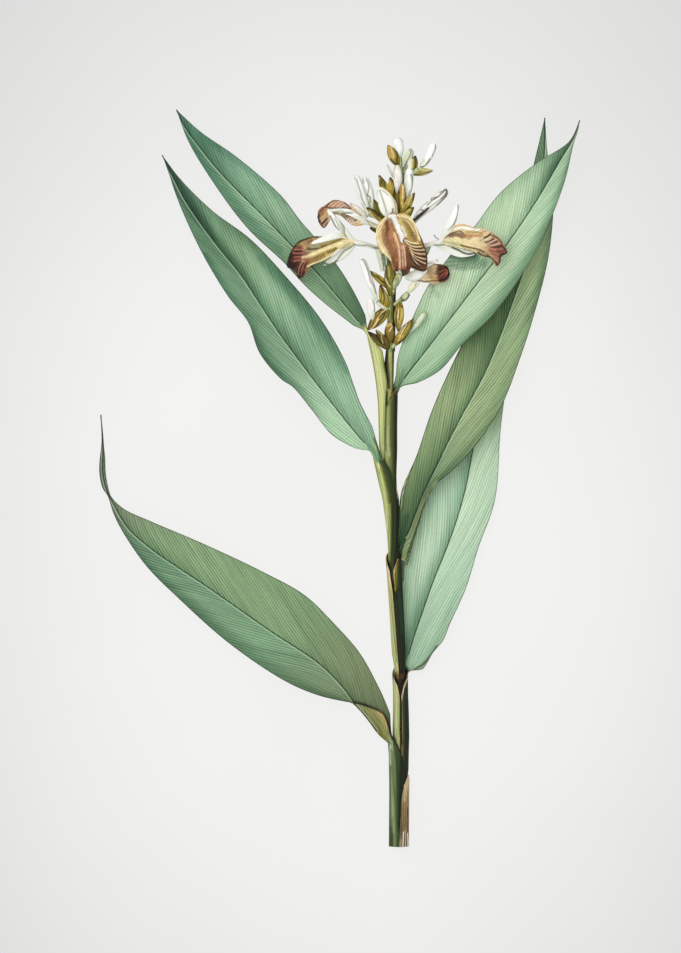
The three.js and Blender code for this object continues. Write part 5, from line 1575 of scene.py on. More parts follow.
def sheath_section(stations, y, v, hand):
    """The offsets of rolled rows from the middle of the shoot: an ellipse whose angle
    runs from the sheath's back at v = 0 round to its two margins."""
    table = np.array(stations, float)
    columns = [np.interp(y, table[:, 0], table[:, k])[:, None] for k in range(1, 8)]
    shift_x, shift_z, radius_x, radius_z, turn, near_wrap, far_wrap = columns
    angle = np.radians(turn + hand * v * np.where(v >= 0, near_wrap, far_wrap))
    rolled_x, rolled_z = radius_x * np.cos(angle), radius_z * np.sin(angle)
    shift = np.concatenate([shift_x, np.zeros_like(shift_x), shift_z], axis=1)
    arc = radius_x * np.radians(np.abs(v) * np.where(v >= 0, near_wrap, far_wrap))
    rim = radius_x * np.radians((1 - np.abs(v)) * np.where(v >= 0, near_wrap, far_wrap))
    offsets = np.stack([rolled_x, np.zeros_like(rolled_x), rolled_z], -1)
    return offsets, shift, arc, rim, np.cos(angle), np.sin(angle)


def leaf_grid(leaf):
    """All rows of a leaf, from the foot of its sheath to the tip of its blade, and the
    numbers that go with each point."""
    even = np.linspace(-1.0, 1.0, LEAF_COLUMNS)
    v = np.sign(even) * np.abs(even) ** COLUMN_POWER
    stations = leaf["sheath"]
    foot, mouth = stations[0][0], stations[-1][0]
    y = np.linspace(foot, mouth, int((mouth - foot) / ROW_STEP) + 2)
    rolled, shift, arc, sheath_rim, side, level = sheath_section(stations, y, v, leaf["hand"])
    drop = np.interp(y, [stations[-2][0], mouth], [0.0, leaf.get("mouth_drop", 0.0)])
    rolled[..., 1] -= drop[:, None] * np.maximum(v, 0.0) ** 2
    sheath = (shoot_middle(y) + shift)[:, None, :] + rolled
    back = sheath[-1, LEAF_COLUMNS // 2]
    blade = {**leaf, "midrib": [back.tolist(), *leaf["midrib"]]}
    _, length = walk(blade["midrib"], 0.0)
    count = int(length / ROW_STEP)
    u = (np.arange(1, count + 1) / count) ** ROW_POWER
    opened, widths, _ = blade_grid(blade, u, v)
    backs, _, _ = blade_grid(blade, u, np.zeros(1))
    kept_roll = backs + (rolled[-1] - rolled[-1, LEAF_COLUMNS // 2])[None, :, :]
    ease = smooth(0.0, OPENING_LENGTH, u * length)[:, None]
    blade_rows = kept_roll + ease[..., None] * (opened - kept_roll)
    course = heading(blade["midrib"], u)[:, :2]
    course /= np.linalg.norm(course, axis=1, keepdims=True)
    reach = opened[..., :2] - backs[..., :2]
    ahead = np.sum(reach * course[:, None, :], axis=-1)
    beside = np.abs(reach[..., 0] * course[:, None, 1] - reach[..., 1] * course[:, None, 0])
    flat_rim = (1 - np.abs(v)) * widths
    met = (y - mouth)[:, None] * np.ones_like(v)
    fields = {
        "u": np.concatenate([np.zeros(len(y)), u]),
        "s": np.concatenate([met, u[:, None] * length + ease * ahead]),
        "d": np.concatenate([arc, arc[-1] + ease * (beside - arc[-1])]),
        "rim": np.concatenate([sheath_rim, sheath_rim[-1] + ease * (flat_rim - sheath_rim[-1])]),
        "open": np.concatenate([np.zeros(len(y)), ease[:, 0]]),
        "side": np.concatenate([side, np.repeat(side[-1:], count, axis=0)]),
        "level": np.concatenate([level, np.repeat(level[-1:], count, axis=0)]),
    }
    return np.concatenate([sheath, blade_rows]), v, fields, len(y)


print("points across a leaf:", LEAF_COLUMNS)

# %% [markdown]
# ## One leaf
# Broad soft ribs follow the side veins, and the midrib is a shallow groove above and a
# ridge below. The sheet is thickest inside and thins towards its margin. The sheath has
# painted light on its left and a painted dark right side, as the plate has it, and it is
# plain underneath.

# %% One leaf
LEAF_SHEET = 0.5
RIB_PERIOD = 6.5
RIB_HEIGHT = 0.1
RIB_MARGIN = 3.0
GROOVE_DEPTH, GROOVE_WIDTH = 0.3, 0.7
THIN_MARGIN, THINNEST = 0.8, 0.25
TIP_ROWS = 40
RIB_SHADE_WIDTH = 4.0
RIM_SHADE = (0.5, 1.0)
SHADE_TINT = np.array([1.2, 0.88, 1.04])
TONE_POWER = 2.2
UNDER_SHARE = 0.3
SHEATH_PLACES = [-1.0, -0.55, 0.0, 0.45, 0.7, 1.0]
SHEATH_BELOW = (112, 128, 76)
BELOW_STARTS, BELOW_ENDS = 0.15, -0.35


def leaf_shell(leaf, paint):
    """One leaf as a closed shell, with its side veins as numbers: across is
    s * sin(angle) - d * cos(angle), and along is s * cos(angle) + d * sin(angle)."""
    points, v, fields, sheath_rows = leaf_grid(leaf)
    s, d, opened = fields["s"], fields["d"], fields["open"][:, None]
    lean = np.radians(np.where(v >= 0, paint["veins"][0], paint["veins"][1])) * opened
    across = s * np.sin(lean) - d * np.cos(lean)
    normals = grid_normals(points)
    facing = 1.0 if np.mean(normals[-TIP_ROWS:, :, 2]) > 0 else -1.0
    from_middle = (points - shoot_middle(points[..., 1]))[:sheath_rows]
    outside = np.mean(np.sum(normals[:sheath_rows] * from_middle, axis=-1))
    ribs = np.cos(2 * np.pi * across / RIB_PERIOD) * np.minimum(fields["rim"] / RIB_MARGIN, 1.0)
    groove = -GROOVE_DEPTH * np.exp(-((d / GROOVE_WIDTH) ** 2)) * opened
    points = points + (facing * normals) * (RIB_HEIGHT * ribs * opened + groove)[..., None]
    half = 0.5 * LEAF_SHEET * np.sqrt(np.clip(fields["rim"] / THIN_MARGIN, THINNEST, 1.0))
    points[..., 2] = np.maximum(points[..., 2], half)
    up, down = leaf_tones(paint, v, fields, facing * outside > 0)
    signed_rib = np.where(v >= 0, 1.0, -1.0) * (d + FAR_FROM_ALL * (1 - opened))
    numbers = {"across": across, "along": s * np.cos(lean) + d * np.sin(lean),
               "rib": signed_rib, "rim": fields["rim"]}
    shell = sheet_shell(points, half, up, down, numbers)
    margin = tones_along(paint["margin"], opened * np.ones_like(v))
    shell["margin"] = np.tile(margin.reshape(-1, 3), (2, 1))
    return shell


def half_tones(half, u, spread_v, d):
    """Tones of one half: its list from base to tip, with painted shade along the midrib by
    rib * exp(-(d / 4)^2) and towards the margin by rim * smooth(0.5, 1, |v|). A shade is
    a little bluer than its tone, so red falls fastest: tone * shade^(2.2 * tint)."""
    tones = tones_along(half["tones"], u)
    shade = 1.0 - along(half["rib"], u) * np.exp(-((d / RIB_SHADE_WIDTH) ** 2))
    shade = shade * (1.0 - along(half["rim"], u) * smooth(*RIM_SHADE, spread_v))
    return tones * shade[..., None] ** (TONE_POWER * SHADE_TINT)


def leaf_tones(paint, v, fields, outer_is_up):
    """Tones for the face that looks up on the blade, and for the other one. In the sheath
    one of them is the outside, painted as if lit from the left, and the other the inside,
    painted dark as the shadow in it."""
    u = fields["u"][:, None] * np.ones_like(v)
    grid_v = v * np.ones_like(u)
    near, far = (half_tones(paint[key], u, np.abs(grid_v), fields["d"]) for key in ("near", "far"))
    blade = np.where((v >= 0)[None, :, None], near, far)
    under = blade * (1.0 - UNDER_SHARE) + UNDER_SHARE * tone(*paint["under"])
    outside = np.zeros_like(blade)
    inside = np.zeros_like(blade)
    # painted light and shade across the sheath's outside, from its left to its right
    for key, share in (("near", v >= 0), ("far", v < 0)):
        table = np.array([tone(*shade) for shade in paint["sheath"][key]])
        for k in range(3):
            outside[:, share, k] = np.interp(fields["side"][:, share], SHEATH_PLACES, table[:, k])
        # the inside is painted dark as the shadow within the sheath
        inside[:, share] = tone(*paint["inside"][key])
    below = smooth(BELOW_STARTS, BELOW_ENDS, fields["level"])[..., None]
    outside = toward(outside, below, SHEATH_BELOW)
    share = smooth(*paint["opens"], fields["open"])[:, None, None]
    if outer_is_up:
        return outside + share * (blade - outside), inside + share * (under - inside)
    return inside + share * (blade - inside), outside + share * (under - outside)


print("rows of a leaf lie", ROW_STEP, "mm apart")

# %% [markdown]
# ## The tones of each leaf
# The leaves on the left are a blue green, the upper right one is pale, and the middle
# right one is olive, with one half darkened by painted shade and a painted shadow. The
# lowest left one is olive above its midrib. near and far are tones from base to tip on
# either half, with painted light and shade in them, rib and rim are how much painted shade
# darkens it at the midrib and the margin, and veins are the side veins' angles in degrees.
# A sheath's tones run from its left to its right, seen from above: painted light on its
# left, painted shade on its right.

# %% Leaf tones
# the inside of a sheath, painted dark as the shadow in it
SHADOWED_INSIDE = {"near": (24, 28, 16), "far": (24, 28, 16)}
# sheath tones from painted light on the left to painted shade on the right
YELLOW_SHEATH = [(184, 188, 120), (204, 212, 142), (196, 204, 132), (176, 182, 110),
                 (150, 152, 84), (112, 110, 58)]
LEFT_OF_SEAM = [(176, 172, 120), (176, 184, 122), (150, 160, 100), (110, 122, 70),
                (84, 96, 52), (50, 62, 32)]
RIGHT_OF_SEAM = [(110, 118, 68), (92, 104, 56), (62, 78, 38), (44, 60, 28),
                 (26, 38, 18), (18, 26, 12)]
ROUND_SHEATH = [(150, 156, 98), (164, 172, 108), (96, 108, 56), (62, 76, 34),
                (22, 32, 14), (16, 22, 10)]
OLIVE_SHEATH = [(160, 170, 100), (182, 192, 118), (104, 100, 48), (58, 60, 28),
                (34, 42, 18), (20, 26, 12)]
LOW_SHEATH = [(88, 106, 70), (146, 162, 112), (54, 74, 38), (26, 38, 16),
              (20, 28, 12), (18, 26, 12)]
PAINT = {
    "leaf_top_left": {
        "near": {"tones": [(140, 172, 134), (128, 158, 122), (120, 152, 118), (120, 155, 122),
                           (112, 149, 118), (88, 128, 100), (78, 116, 94)],
                 "rib": [0, 0.2, 0, -0.08, 0, 0, 0], "rim": [0, 0, 0.1, 0.2, 0.15, 0.05, 0]},
        "far": {"tones": [(72, 104, 70), (92, 124, 90), (120, 155, 122), (137, 171, 137),
                          (128, 165, 134), (90, 130, 104), (76, 116, 94)],
                "rib": [0, 0, 0.1, 0.2, 0.25, 0.2, 0.1], "rim": [0, 0, 0, 0.05, 0, 0, 0]},
        "sheath": {"near": YELLOW_SHEATH, "far": YELLOW_SHEATH}, "inside": SHADOWED_INSIDE,
        "margin": [(150, 130, 84), (70, 78, 66)], "opens": (0.3, 0.75),
        "under": (150, 170, 130), "veins": (15, 15), "slot": "leaf_green",
    },
    "leaf_middle_left": {
        "near": {"tones": [(170, 204, 167), (168, 200, 165), (122, 156, 124), (110, 144, 112),
                           (108, 143, 111), (94, 128, 100), (84, 114, 96)],
                 "rib": [0, 0, 0, -0.08, 0.1, 0.15, 0.2],
                 "rim": [0.05, 0.1, 0.36, 0.2, 0.12, 0, 0]},
        "far": {"tones": [(132, 165, 135), (150, 184, 150), (124, 159, 125), (142, 176, 141),
                          (134, 166, 128), (98, 132, 106), (60, 88, 76)],
                "rib": [0.05, 0.18, 0.28, 0.38, 0.5, 0.6, 0.3],
                "rim": [0, 0.1, 0.2, 0.4, 0.25, 0, -0.3]},
        "sheath": {"near": OLIVE_SHEATH, "far": OLIVE_SHEATH}, "inside": SHADOWED_INSIDE,
        "margin": [(120, 104, 64), (70, 78, 66)], "opens": (0.3, 0.75),
        "under": (150, 170, 130), "veins": (13, 15), "slot": "leaf_green",
    },
    "leaf_lowest_left": {
        "near": {"tones": [(92, 106, 62), (116, 136, 102), (116, 150, 116), (118, 151, 117),
                           (99, 134, 103), (92, 98, 80), (96, 96, 80)],
                 "rib": [0.1, 0, 0, 0.05, 0, 0, 0], "rim": [0, 0.25, 0.2, 0.3, 0.2, 0, 0]},
        "far": {"tones": [(98, 112, 76), (118, 134, 98), (122, 150, 110), (128, 156, 114),
                          (128, 154, 114), (118, 124, 102), (96, 96, 80)],
                "rib": [0.15, 0.15, 0, 0.08, 0.2, 0.1, 0], "rim": [0, 0, 0, 0, 0, 0, 0]},
        "sheath": {"near": LOW_SHEATH, "far": LOW_SHEATH}, "inside": SHADOWED_INSIDE,
        "margin": [(30, 34, 18), (54, 58, 44)], "opens": (0.0, 0.4),
        "under": (150, 150, 80), "veins": (19, 22), "slot": "leaf_green",
    },
    "leaf_top_right": {
        "near": {"tones": [(145, 178, 140), (162, 192, 155), (178, 204, 168), (176, 202, 165),
                           (175, 205, 168), (162, 192, 157), (130, 152, 132)],
                 "rib": [0, 0, 0, 0, 0, 0, 0], "rim": [0.2, 0.3, 0.34, 0.34, 0.32, 0.3, 0.1]},
        "far": {"tones": [(148, 180, 142), (172, 202, 166), (188, 211, 175), (188, 212, 175),
                          (186, 211, 173), (150, 178, 146), (104, 126, 106)],
                "rib": [0.1, 0.32, 0.2, 0.15, 0.18, 0.5, 0.2], "rim": [0, 0.08, 0, 0, 0.1, 0.1, 0]},
        "sheath": {"near": ROUND_SHEATH, "far": ROUND_SHEATH}, "inside": SHADOWED_INSIDE,
        "margin": [(122, 86, 48), (96, 104, 78)], "opens": (0.0, 0.3),
        "under": (150, 170, 130), "veins": (11, 22), "slot": "leaf_pale",
    },
    "leaf_middle_right": {
        "near": {"tones": [(106, 132, 94), (114, 140, 103), (146, 166, 121), (143, 166, 122),
                           (158, 179, 134), (136, 158, 122), (128, 150, 120)],
                 "rib": [0, 0.05, -0.05, 0, 0.05, 0, 0],
                 "rim": [0, 0.34, 0.2, 0.1, 0.36, 0.1, 0.1]},
        "far": {"tones": [(80, 107, 70), (108, 133, 90), (146, 166, 121), (84, 110, 70),
                          (76, 100, 64), (90, 116, 84), (110, 140, 108)],
                "rib": [0.2, 0.25, 0.3, 0.15, 0.1, 0, 0], "rim": [-0.2, -0.08, 0, 0, 0, 0, 0]},
        "sheath": {"near": RIGHT_OF_SEAM, "far": LEFT_OF_SEAM},
        "inside": {"near": (96, 118, 74), "far": (24, 28, 16)},
        "margin": [(196, 166, 122), (44, 52, 32)], "opens": (0.0, 0.3),
        "under": (130, 150, 90), "veins": (12, 17), "slot": "leaf_olive",
    },
    "leaf_lowest_right": {
        "near": {"tones": [(152, 184, 155), (166, 196, 165), (178, 206, 176), (185, 211, 180),
                           (190, 214, 183), (158, 184, 150), (150, 176, 140)],
                 "rib": [0, 0, -0.04, -0.08, -0.05, 0, 0],
                 "rim": [0.1, 0.1, 0.04, 0.04, 0.04, 0.04, 0]},
        "far": {"tones": [(108, 142, 116), (158, 190, 158), (190, 214, 184), (178, 207, 178),
                          (160, 188, 158), (150, 176, 146), (140, 166, 136)],
                "rib": [0.15, 0.32, 0.3, 0.25, 0.2, 0, 0], "rim": [-0.25, 0.05, 0.1, 0.1, 0, 0, 0]},
        "sheath": {"near": RIGHT_OF_SEAM, "far": LEFT_OF_SEAM}, "inside": SHADOWED_INSIDE,
        "margin": [(206, 172, 132), (90, 104, 78)], "opens": (0.0, 0.3),
        "under": (150, 170, 130), "veins": (10, 15), "slot": "leaf_pale",
    },
}
print("leaves painted:", len(PAINT))

# %% [markdown]
# ## The leaf finish
# A real blade is satin, with hair-fine side veins that run off the midrib. The drawn
# one is engraved: thin darker lines along the veins, streaks between them, a dark line
# painted as the shade in the midrib's groove with a painted highlight along one edge,
# and a thin purple-brown margin. All of it is worked out from the numbers that each
# point carries, so it follows the leaf however it bends.

# %% Leaf finish
VEIN_GAP, VEIN_LINE = 1.3, 0.34
STREAK_SCALE, STREAK = 0.42, 0.8
FINE_SCALE, FINE_STREAK = 1.5, 0.6
GRAIN_SCALE, GRAIN = 1500.0, 0.5
DEPTH_SCALE, DEPTH_RANGE = 0.23, (0.35, 0.65, 0.35, 1.0)
STRETCH = 0.045
WANDER = 3.0
BUMP_DISTANCE = 0.0001
MIDRIB_HIGHLIGHT = {"tone": (196, 220, 186), "in": (0.35, 0.6), "out": (0.8, 1.3), "share": 0.4}
MIDRIB_GROOVE_SHADE = {"tone": (28, 56, 36), "width": (0.22, 0.55), "share": 0.9}
MARGIN_LINE = {"width": (0.15, 0.55), "share": 0.85}


def leaf_material(name, contrast):
    """Lines and streaks along the side veins over the leaf's own tones: brightness is
    1 + line * sin(2 pi across / gap) + streaks + grain."""
    material, tree, shader = new_material(name, 0.6, 0.2)
    across, lengthwise, rib, rim = (carried(tree, field) for field in FIELDS)
    place = node(tree, "ShaderNodeTexCoord").outputs["Object"]
    slow = calc(tree, "MULTIPLY", lengthwise, STRETCH)
    flow = node(tree, "ShaderNodeCombineXYZ", {0: across, 1: slow}).outputs[0]
    streak = calc(tree, "SUBTRACT", noise(tree, flow, STREAK_SCALE, 2.0, 0.5), 0.5)
    fine = calc(tree, "SUBTRACT", noise(tree, flow, FINE_SCALE, 2.0, 0.6), 0.5)
    grain = calc(tree, "SUBTRACT", noise(tree, place, GRAIN_SCALE, 2.0), 0.5)
    turn = calc(tree, "MULTIPLY_ADD", across, 2.0 * math.pi / VEIN_GAP,
                calc(tree, "MULTIPLY", streak, WANDER))
    line = calc(tree, "SINE", turn)
    depth = spread(tree, noise(tree, flow, DEPTH_SCALE, 1.0), *DEPTH_RANGE)
    factor = 1.0
    for value, strength in ((calc(tree, "MULTIPLY", line, depth), VEIN_LINE), (streak, STREAK),
                            (fine, FINE_STREAK), (grain, GRAIN)):
        factor = calc(tree, "ADD", factor, calc(tree, "MULTIPLY", value, strength * contrast))
    colour = blend(tree, 1.0, carried(tree, "tones", "Color"), grey(tree, factor), "MULTIPLY")
    # painted highlight along the near edge of the midrib's groove
    pale = calc(tree, "MULTIPLY", spread(tree, rib, *MIDRIB_HIGHLIGHT["in"], 0.0, MIDRIB_HIGHLIGHT["share"]),
                spread(tree, rib, *MIDRIB_HIGHLIGHT["out"], 1.0, 0.0))
    colour = blend(tree, pale, colour, (*tone(*MIDRIB_HIGHLIGHT["tone"]), 1.0))
    # painted shade: a dark line along the midrib's groove
    from_midrib = calc(tree, "ABSOLUTE", rib)
    dark = spread(tree, from_midrib, *MIDRIB_GROOVE_SHADE["width"], MIDRIB_GROOVE_SHADE["share"], 0.0)
    colour = blend(tree, dark, colour, (*tone(*MIDRIB_GROOVE_SHADE["tone"]), 1.0))
    edge = spread(tree, rim, *MARGIN_LINE["width"], MARGIN_LINE["share"], 0.0)
    colour = blend(tree, edge, colour, carried(tree, "margin", "Color"))
    tree.links.new(colour, shader.inputs["Base Color"])
    bump = node(tree, "ShaderNodeBump",
                {"Height": line, "Strength": 0.2, "Distance": BUMP_DISTANCE})
    tree.links.new(bump.outputs[0], shader.inputs["Normal"])
    return material


LEAF_FINISH = {
    "leaf_green": leaf_material("blue_green_leaf", 1.0),
    "leaf_pale": leaf_material("pale_leaf", 0.75),
    "leaf_olive": leaf_material("olive_leaf", 1.1),
}
print("leaf finishes:", list(LEAF_FINISH))

# %% [markdown]
# ## The six leaves
# Each leaf is one piece, and its solid's box is printed for comparison.

# %% Leaf pieces
for name, leaf in LEAVES.items():
    slot = PAINT[name]["slot"]
    new_piece(f"{name}_sheet", [leaf_shell(leaf, PAINT[name])], LEAF_FINISH[slot], name)
    low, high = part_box(name)
    print("  solid", np.round(low, 4), np.round(high, 4))

# %% [markdown]
# ## Plain finishes
# Stem, scale, bracts, petals and lips share one recipe: streaks along the part, a grain
# as fine as that of paper, and thin drawn lines that come and go.

# %% Plain finishes
GRAIN_SHARE = 0.4
PLAIN_STRETCH = 0.12
PEN_WANDER, WANDER_SCALE = 5.0, 0.9
PEN_EDGE = (0.1, 0.85)
PATCH_SCALE, PATCH_RANGE = 260.0, (0.38, 0.6, 0.25, 1.0)


def tinted_material(name, roughness, streak_scale, contrast, pen=(1.0, 0.0)):
    """Streaks along a small part over its own tones, with a fine grain, and drawn lines
    of pen (gap, depth): dark where sin(2 pi across / gap + wander) is high."""
    material, tree, shader = new_material(name, roughness, 0.25)
    across, lengthwise = carried(tree, "across"), carried(tree, "along")
    place = node(tree, "ShaderNodeTexCoord").outputs["Object"]
    slow = calc(tree, "MULTIPLY", lengthwise, PLAIN_STRETCH)
    flow = node(tree, "ShaderNodeCombineXYZ", {0: across, 1: slow}).outputs[0]
    streak = noise(tree, flow, streak_scale, 3.0, 0.6)
    grain = noise(tree, place, GRAIN_SCALE, 2.0)
    factor = calc(tree, "MULTIPLY", calc(tree, "SUBTRACT", streak, 0.5), 2.0 * contrast)
    speck = calc(tree, "MULTIPLY", calc(tree, "SUBTRACT", grain, 0.5), GRAIN_SHARE * contrast)
    factor = calc(tree, "ADD", factor, speck)
    factor = calc(tree, "ADD", factor, 1.0)
    wander = calc(tree, "MULTIPLY", noise(tree, flow, WANDER_SCALE, 1.0), PEN_WANDER)
    turn = calc(tree, "MULTIPLY_ADD", across, 2.0 * math.pi / pen[0], wander)
    line = spread(tree, calc(tree, "SINE", turn), *PEN_EDGE)
    patch = spread(tree, noise(tree, place, PATCH_SCALE, 1.0), *PATCH_RANGE)
    drawn = calc(tree, "MULTIPLY", calc(tree, "MULTIPLY", line, patch), -pen[1])
    factor = calc(tree, "MULTIPLY", factor, calc(tree, "ADD", drawn, 1.0))
    colour = blend(tree, 1.0, carried(tree, "tones", "Color"), grey(tree, factor), "MULTIPLY")
    tree.links.new(colour, shader.inputs["Base Color"])
    bump = node(tree, "ShaderNodeBump",
                {"Height": streak, "Strength": 0.3, "Distance": BUMP_DISTANCE})
    tree.links.new(bump.outputs[0], shader.inputs["Normal"])
    return material


stem_finish = tinted_material("stem_skin", 0.5, 2.0, 0.5)
dry_finish = tinted_material("dry_scale", 0.85, 2.5, 0.6)
bract_finish = tinted_material("bract_skin", 0.5, 2.4, 0.7, (0.9, 0.3))
petal_finish = tinted_material("petal_skin", 0.5, 1.6, 0.14, (1.1, 0.1))
lip_finish = tinted_material("lip_skin", 0.5, 2.2, 0.6, (1.15, 0.42))
print("materials so far:", len(bpy.data.materials))

# %% [markdown]
# ## The cane
# The cane shows only at the cut end. It is a round stem, a little fibrous, with a ring
# where each sheath stands.

# %% Cane
CANE_GRID = (360, 32)
CANE_SAMPLES = 400
# the lit tone and the painted shade tone of the cane
CANE_SHADES = ((170, 170, 96), (44, 46, 24))

cane_y, cane_radius = np.transpose(CANE_PROFILE)
cane_line = shoot_middle(np.linspace(cane_y[0], cane_y[-1], 60))
cane_line[:, 0] += np.interp(cane_line[:, 1], *np.transpose(CANE_BEND))
cane_radii = np.interp(np.linspace(cane_y[0], cane_y[-1], CANE_SAMPLES), cane_y, cane_radius)
cane = round_shell(cane_line.tolist(), cane_radii, *CANE_GRID, *CANE_SHADES)
new_piece("cane_round", [cane], stem_finish, "cane")

# %% [markdown]
# ## The old scale
# It is a dry brown strip curled round the right side of the cut end, with a frayed
# pale end.

# %% Old scale
SCALE_SHEET = 0.45
SCALE_STEP, SCALE_COLUMNS = 0.8, 33
SCALE_TONES = [(146, 136, 108), (124, 108, 76), (140, 120, 84), (168, 150, 112), (206, 188, 150)]


def strip_shell(stations, hand, shades):
    """A rolled strip round the shoot between its stations, by the rule of the sheaths."""
    v = np.linspace(-1.0, 1.0, SCALE_COLUMNS)
    first, last = stations[0][0], stations[-1][0]
    y = np.linspace(first, last, int((last - first) / SCALE_STEP))
    rolled, shift, arc, rim, _, _ = sheath_section(stations, y, v, hand)
    points = (shoot_middle(y) + shift)[:, None, :] + rolled
    points[..., 2] = np.maximum(points[..., 2], 0.5 * SCALE_SHEET)
    u = (y - y[0])[:, None] / (y[-1] - y[0]) * np.ones_like(v)
    tones = tones_along(shades, u)
    half = np.full(u.shape, 0.5 * SCALE_SHEET)
    fields = {"across": arc, "along": y[:, None], "rim": rim}
    return sheet_shell(points, half, tones, tones * 0.5, fields)


old_scale = strip_shell(OLD_SCALE, 1, SCALE_TONES)
new_piece("old_scale_strip", [old_scale], dry_finish, "old_scale")

# %% [markdown]
# ## The flower head
# The rachis carries pedicels and olive bracts. They all grow as one on the real plant,
# and stand for one solid here, but each kind gets a piece of its own. Two flowers have
# a pale calyx tube round their foot.

# %% Rachis and pedicels
RACHIS_GRID, PEDICEL_GRID, TUBE_GRID = (120, 24), (16, 14), (30, 20)
# lit tones and painted shade tones of the rachis, pedicels and calyx tubes
RACHIS_SHADES = ((150, 156, 92), (26, 26, 10))
PEDICEL_SHADES = ((190, 198, 146), (84, 88, 48))
CALYX_SHADES = ((214, 224, 196), (98, 118, 78))
CALYX_TUBES = [rows("20.7 118.2 28.2 1.6, 22 112 28 1.5, 22.9 107.2 27.4 1.1"),
               rows("23.7 117 27.4 1.3, 24.8 112 28 1.5, 25.8 107.4 28.2 1.2")]


def thread_shell(line, grid, *look):
    """A round body along points that are each given as x y z radius."""
    return round_shell(line, [point[3] for point in line], *grid, *look)


rachis_way = [RACHIS_START, *[point for point in SHOOT_LINE if point[1] > RACHIS_START[1]]]
rachis_line = [[x, y, shoot_middle(y)[2]] for x, y in rachis_way]
rachis = round_shell(rachis_line, RACHIS_RADII, *RACHIS_GRID, *RACHIS_SHADES)
new_piece("rachis", [rachis], bract_finish, "flower_stalk")
pedicels = [thread_shell(line, PEDICEL_GRID, *PEDICEL_SHADES) for line in PEDICELS]
pedicels += [thread_shell(line, TUBE_GRID, *CALYX_SHADES) for line in CALYX_TUBES]
new_piece("pedicels", pedicels, bract_finish, "flower_stalk")

# %% [markdown]
# ## The bracts
# A bract is a keeled, pointed blade that stands on its foot, bowed along its length,
# with fine dark lines along it. Those of the crown are chalky and have no lines.

# %% Bracts
BRACT_SWELL = {"foot": 0.16, "belly": 0.34, "tip_taper": 0.6, "bow": 0.06, "keel": 0.35}
BRACT_GRID = (41, 23)
BRACT_HALF_SHEET = 0.3
BRACT_LINE_GAP = 0.9
BRACT_LINE_DEPTH = 0.35
BRACT_EDGE = {"depth": 0.55, "width": 0.28}
BRACT_TONES = {
    "straw": [(134, 124, 50), (172, 160, 76), (196, 184, 104), (204, 194, 124), (176, 164, 96)],
    "gold": [(126, 110, 30), (176, 152, 50), (200, 174, 72), (186, 158, 62), (140, 112, 42)],
    "olive": [(110, 110, 34), (138, 132, 46), (156, 146, 56), (140, 126, 46), (94, 80, 28)],
    "moss": [(80, 74, 22), (108, 98, 32), (124, 110, 40), (104, 88, 34), (70, 56, 22)],
    "tawny": [(104, 84, 28), (136, 110, 38), (156, 128, 46), (164, 130, 58), (170, 128, 66)],
    "chalk": [(216, 218, 188), (236, 234, 214), (244, 240, 224), (240, 236, 220),
              (226, 220, 200)],
}
BRACT_PAINTS = """gold olive straw olive gold gold moss gold olive olive moss moss gold
    olive gold gold gold gold tawny moss moss""".split()
SMALL_BRACTS = rows("36.8 158.4 29.6 37.6 166.6 31.6 2.6, 28.6 155.6 27.2 25.2 162.4 28.4 1.2,"
                    "15 135 28.8 6 142.4 30.4 3")


def bract_shell(row, paint):
    """A row gives the base, the tip and the width. Half width is
    width * (foot + belly * sin(pi u^0.9)^0.8) * (1 - taper u^6)."""
    u = np.linspace(0.0, 1.0, BRACT_GRID[0])[:, None]
    v = np.linspace(-1.0, 1.0, BRACT_GRID[1])[None, :]
    start, width = np.array(row[:3]), row[6]
    length = np.array(row[3:6]) - start
    side = np.array([length[1], -length[0], 0.0])
    side /= np.linalg.norm(side)
    out = np.cross(side, length)
    out /= np.linalg.norm(out)
    swell = BRACT_SWELL
    belly = np.sin(np.pi * np.clip(u, 0, 1) ** 0.9).clip(0) ** 0.8
    half = width * (swell["foot"] + swell["belly"] * belly)
    half = half * (1 - swell["tip_taper"] * u ** 6)
    rise = swell["bow"] * np.linalg.norm(length) * np.sin(np.pi * u) - swell["keel"] * half * v ** 2
    points = start + length * u[..., None] + side * (v * half)[..., None] + out * rise[..., None]
    grid_u, grid_v = u * np.ones_like(v), v * np.ones_like(u)
    from_edge = (1 - np.abs(v)) * half
    lines = 0.5 + 0.5 * np.cos(2 * np.pi * v * half / BRACT_LINE_GAP)
    dark_edge = BRACT_EDGE["depth"] * np.exp(-((from_edge / BRACT_EDGE["width"]) ** 2))
    shade = (1 - BRACT_LINE_DEPTH * lines * (paint != "chalk")) * (1 - dark_edge)
    tones = tones_along(BRACT_TONES[paint], grid_u) * shade[..., None]
    thickness = BRACT_HALF_SHEET * np.sqrt(np.clip((1 - np.abs(grid_v)) * 3, 0.3, 1.0))
    fields = {"across": v * half, "along": u * np.linalg.norm(length)}
    return sheet_shell(points, thickness, tones, tones * 0.5, fields)


bracts = [bract_shell(row, paint) for row, paint in zip(BRACTS, BRACT_PAINTS)]
bracts += [bract_shell(row, "chalk") for row in SMALL_BRACTS]
new_piece("bracts", bracts, bract_finish, "flower_stalk")
print("bracts:", len(bracts))

# %% [markdown]
# ## Buds
# A bud is a soft club: narrow at its seat, widest past the middle, with a blunt round
# tip. Three faint furrows show where its petals are folded over each other.

# %% Buds
BUD_GRID = (64, 44)
BUD_LEAN = 0.5
BUD_SWELLING = [0.42, 0.68, 0.88, 0.98, 1.0, 1.0]
BUD_CAP = {"earliest": 0.62, "roundness": 1.5, "power": 2.2}
BUD_SAMPLES = 120
FURROW_DEPTH, FURROW_POWER = 0.07, 12
BASE_STRENGTH, BASE_LENGTH = 0.7, 0.2
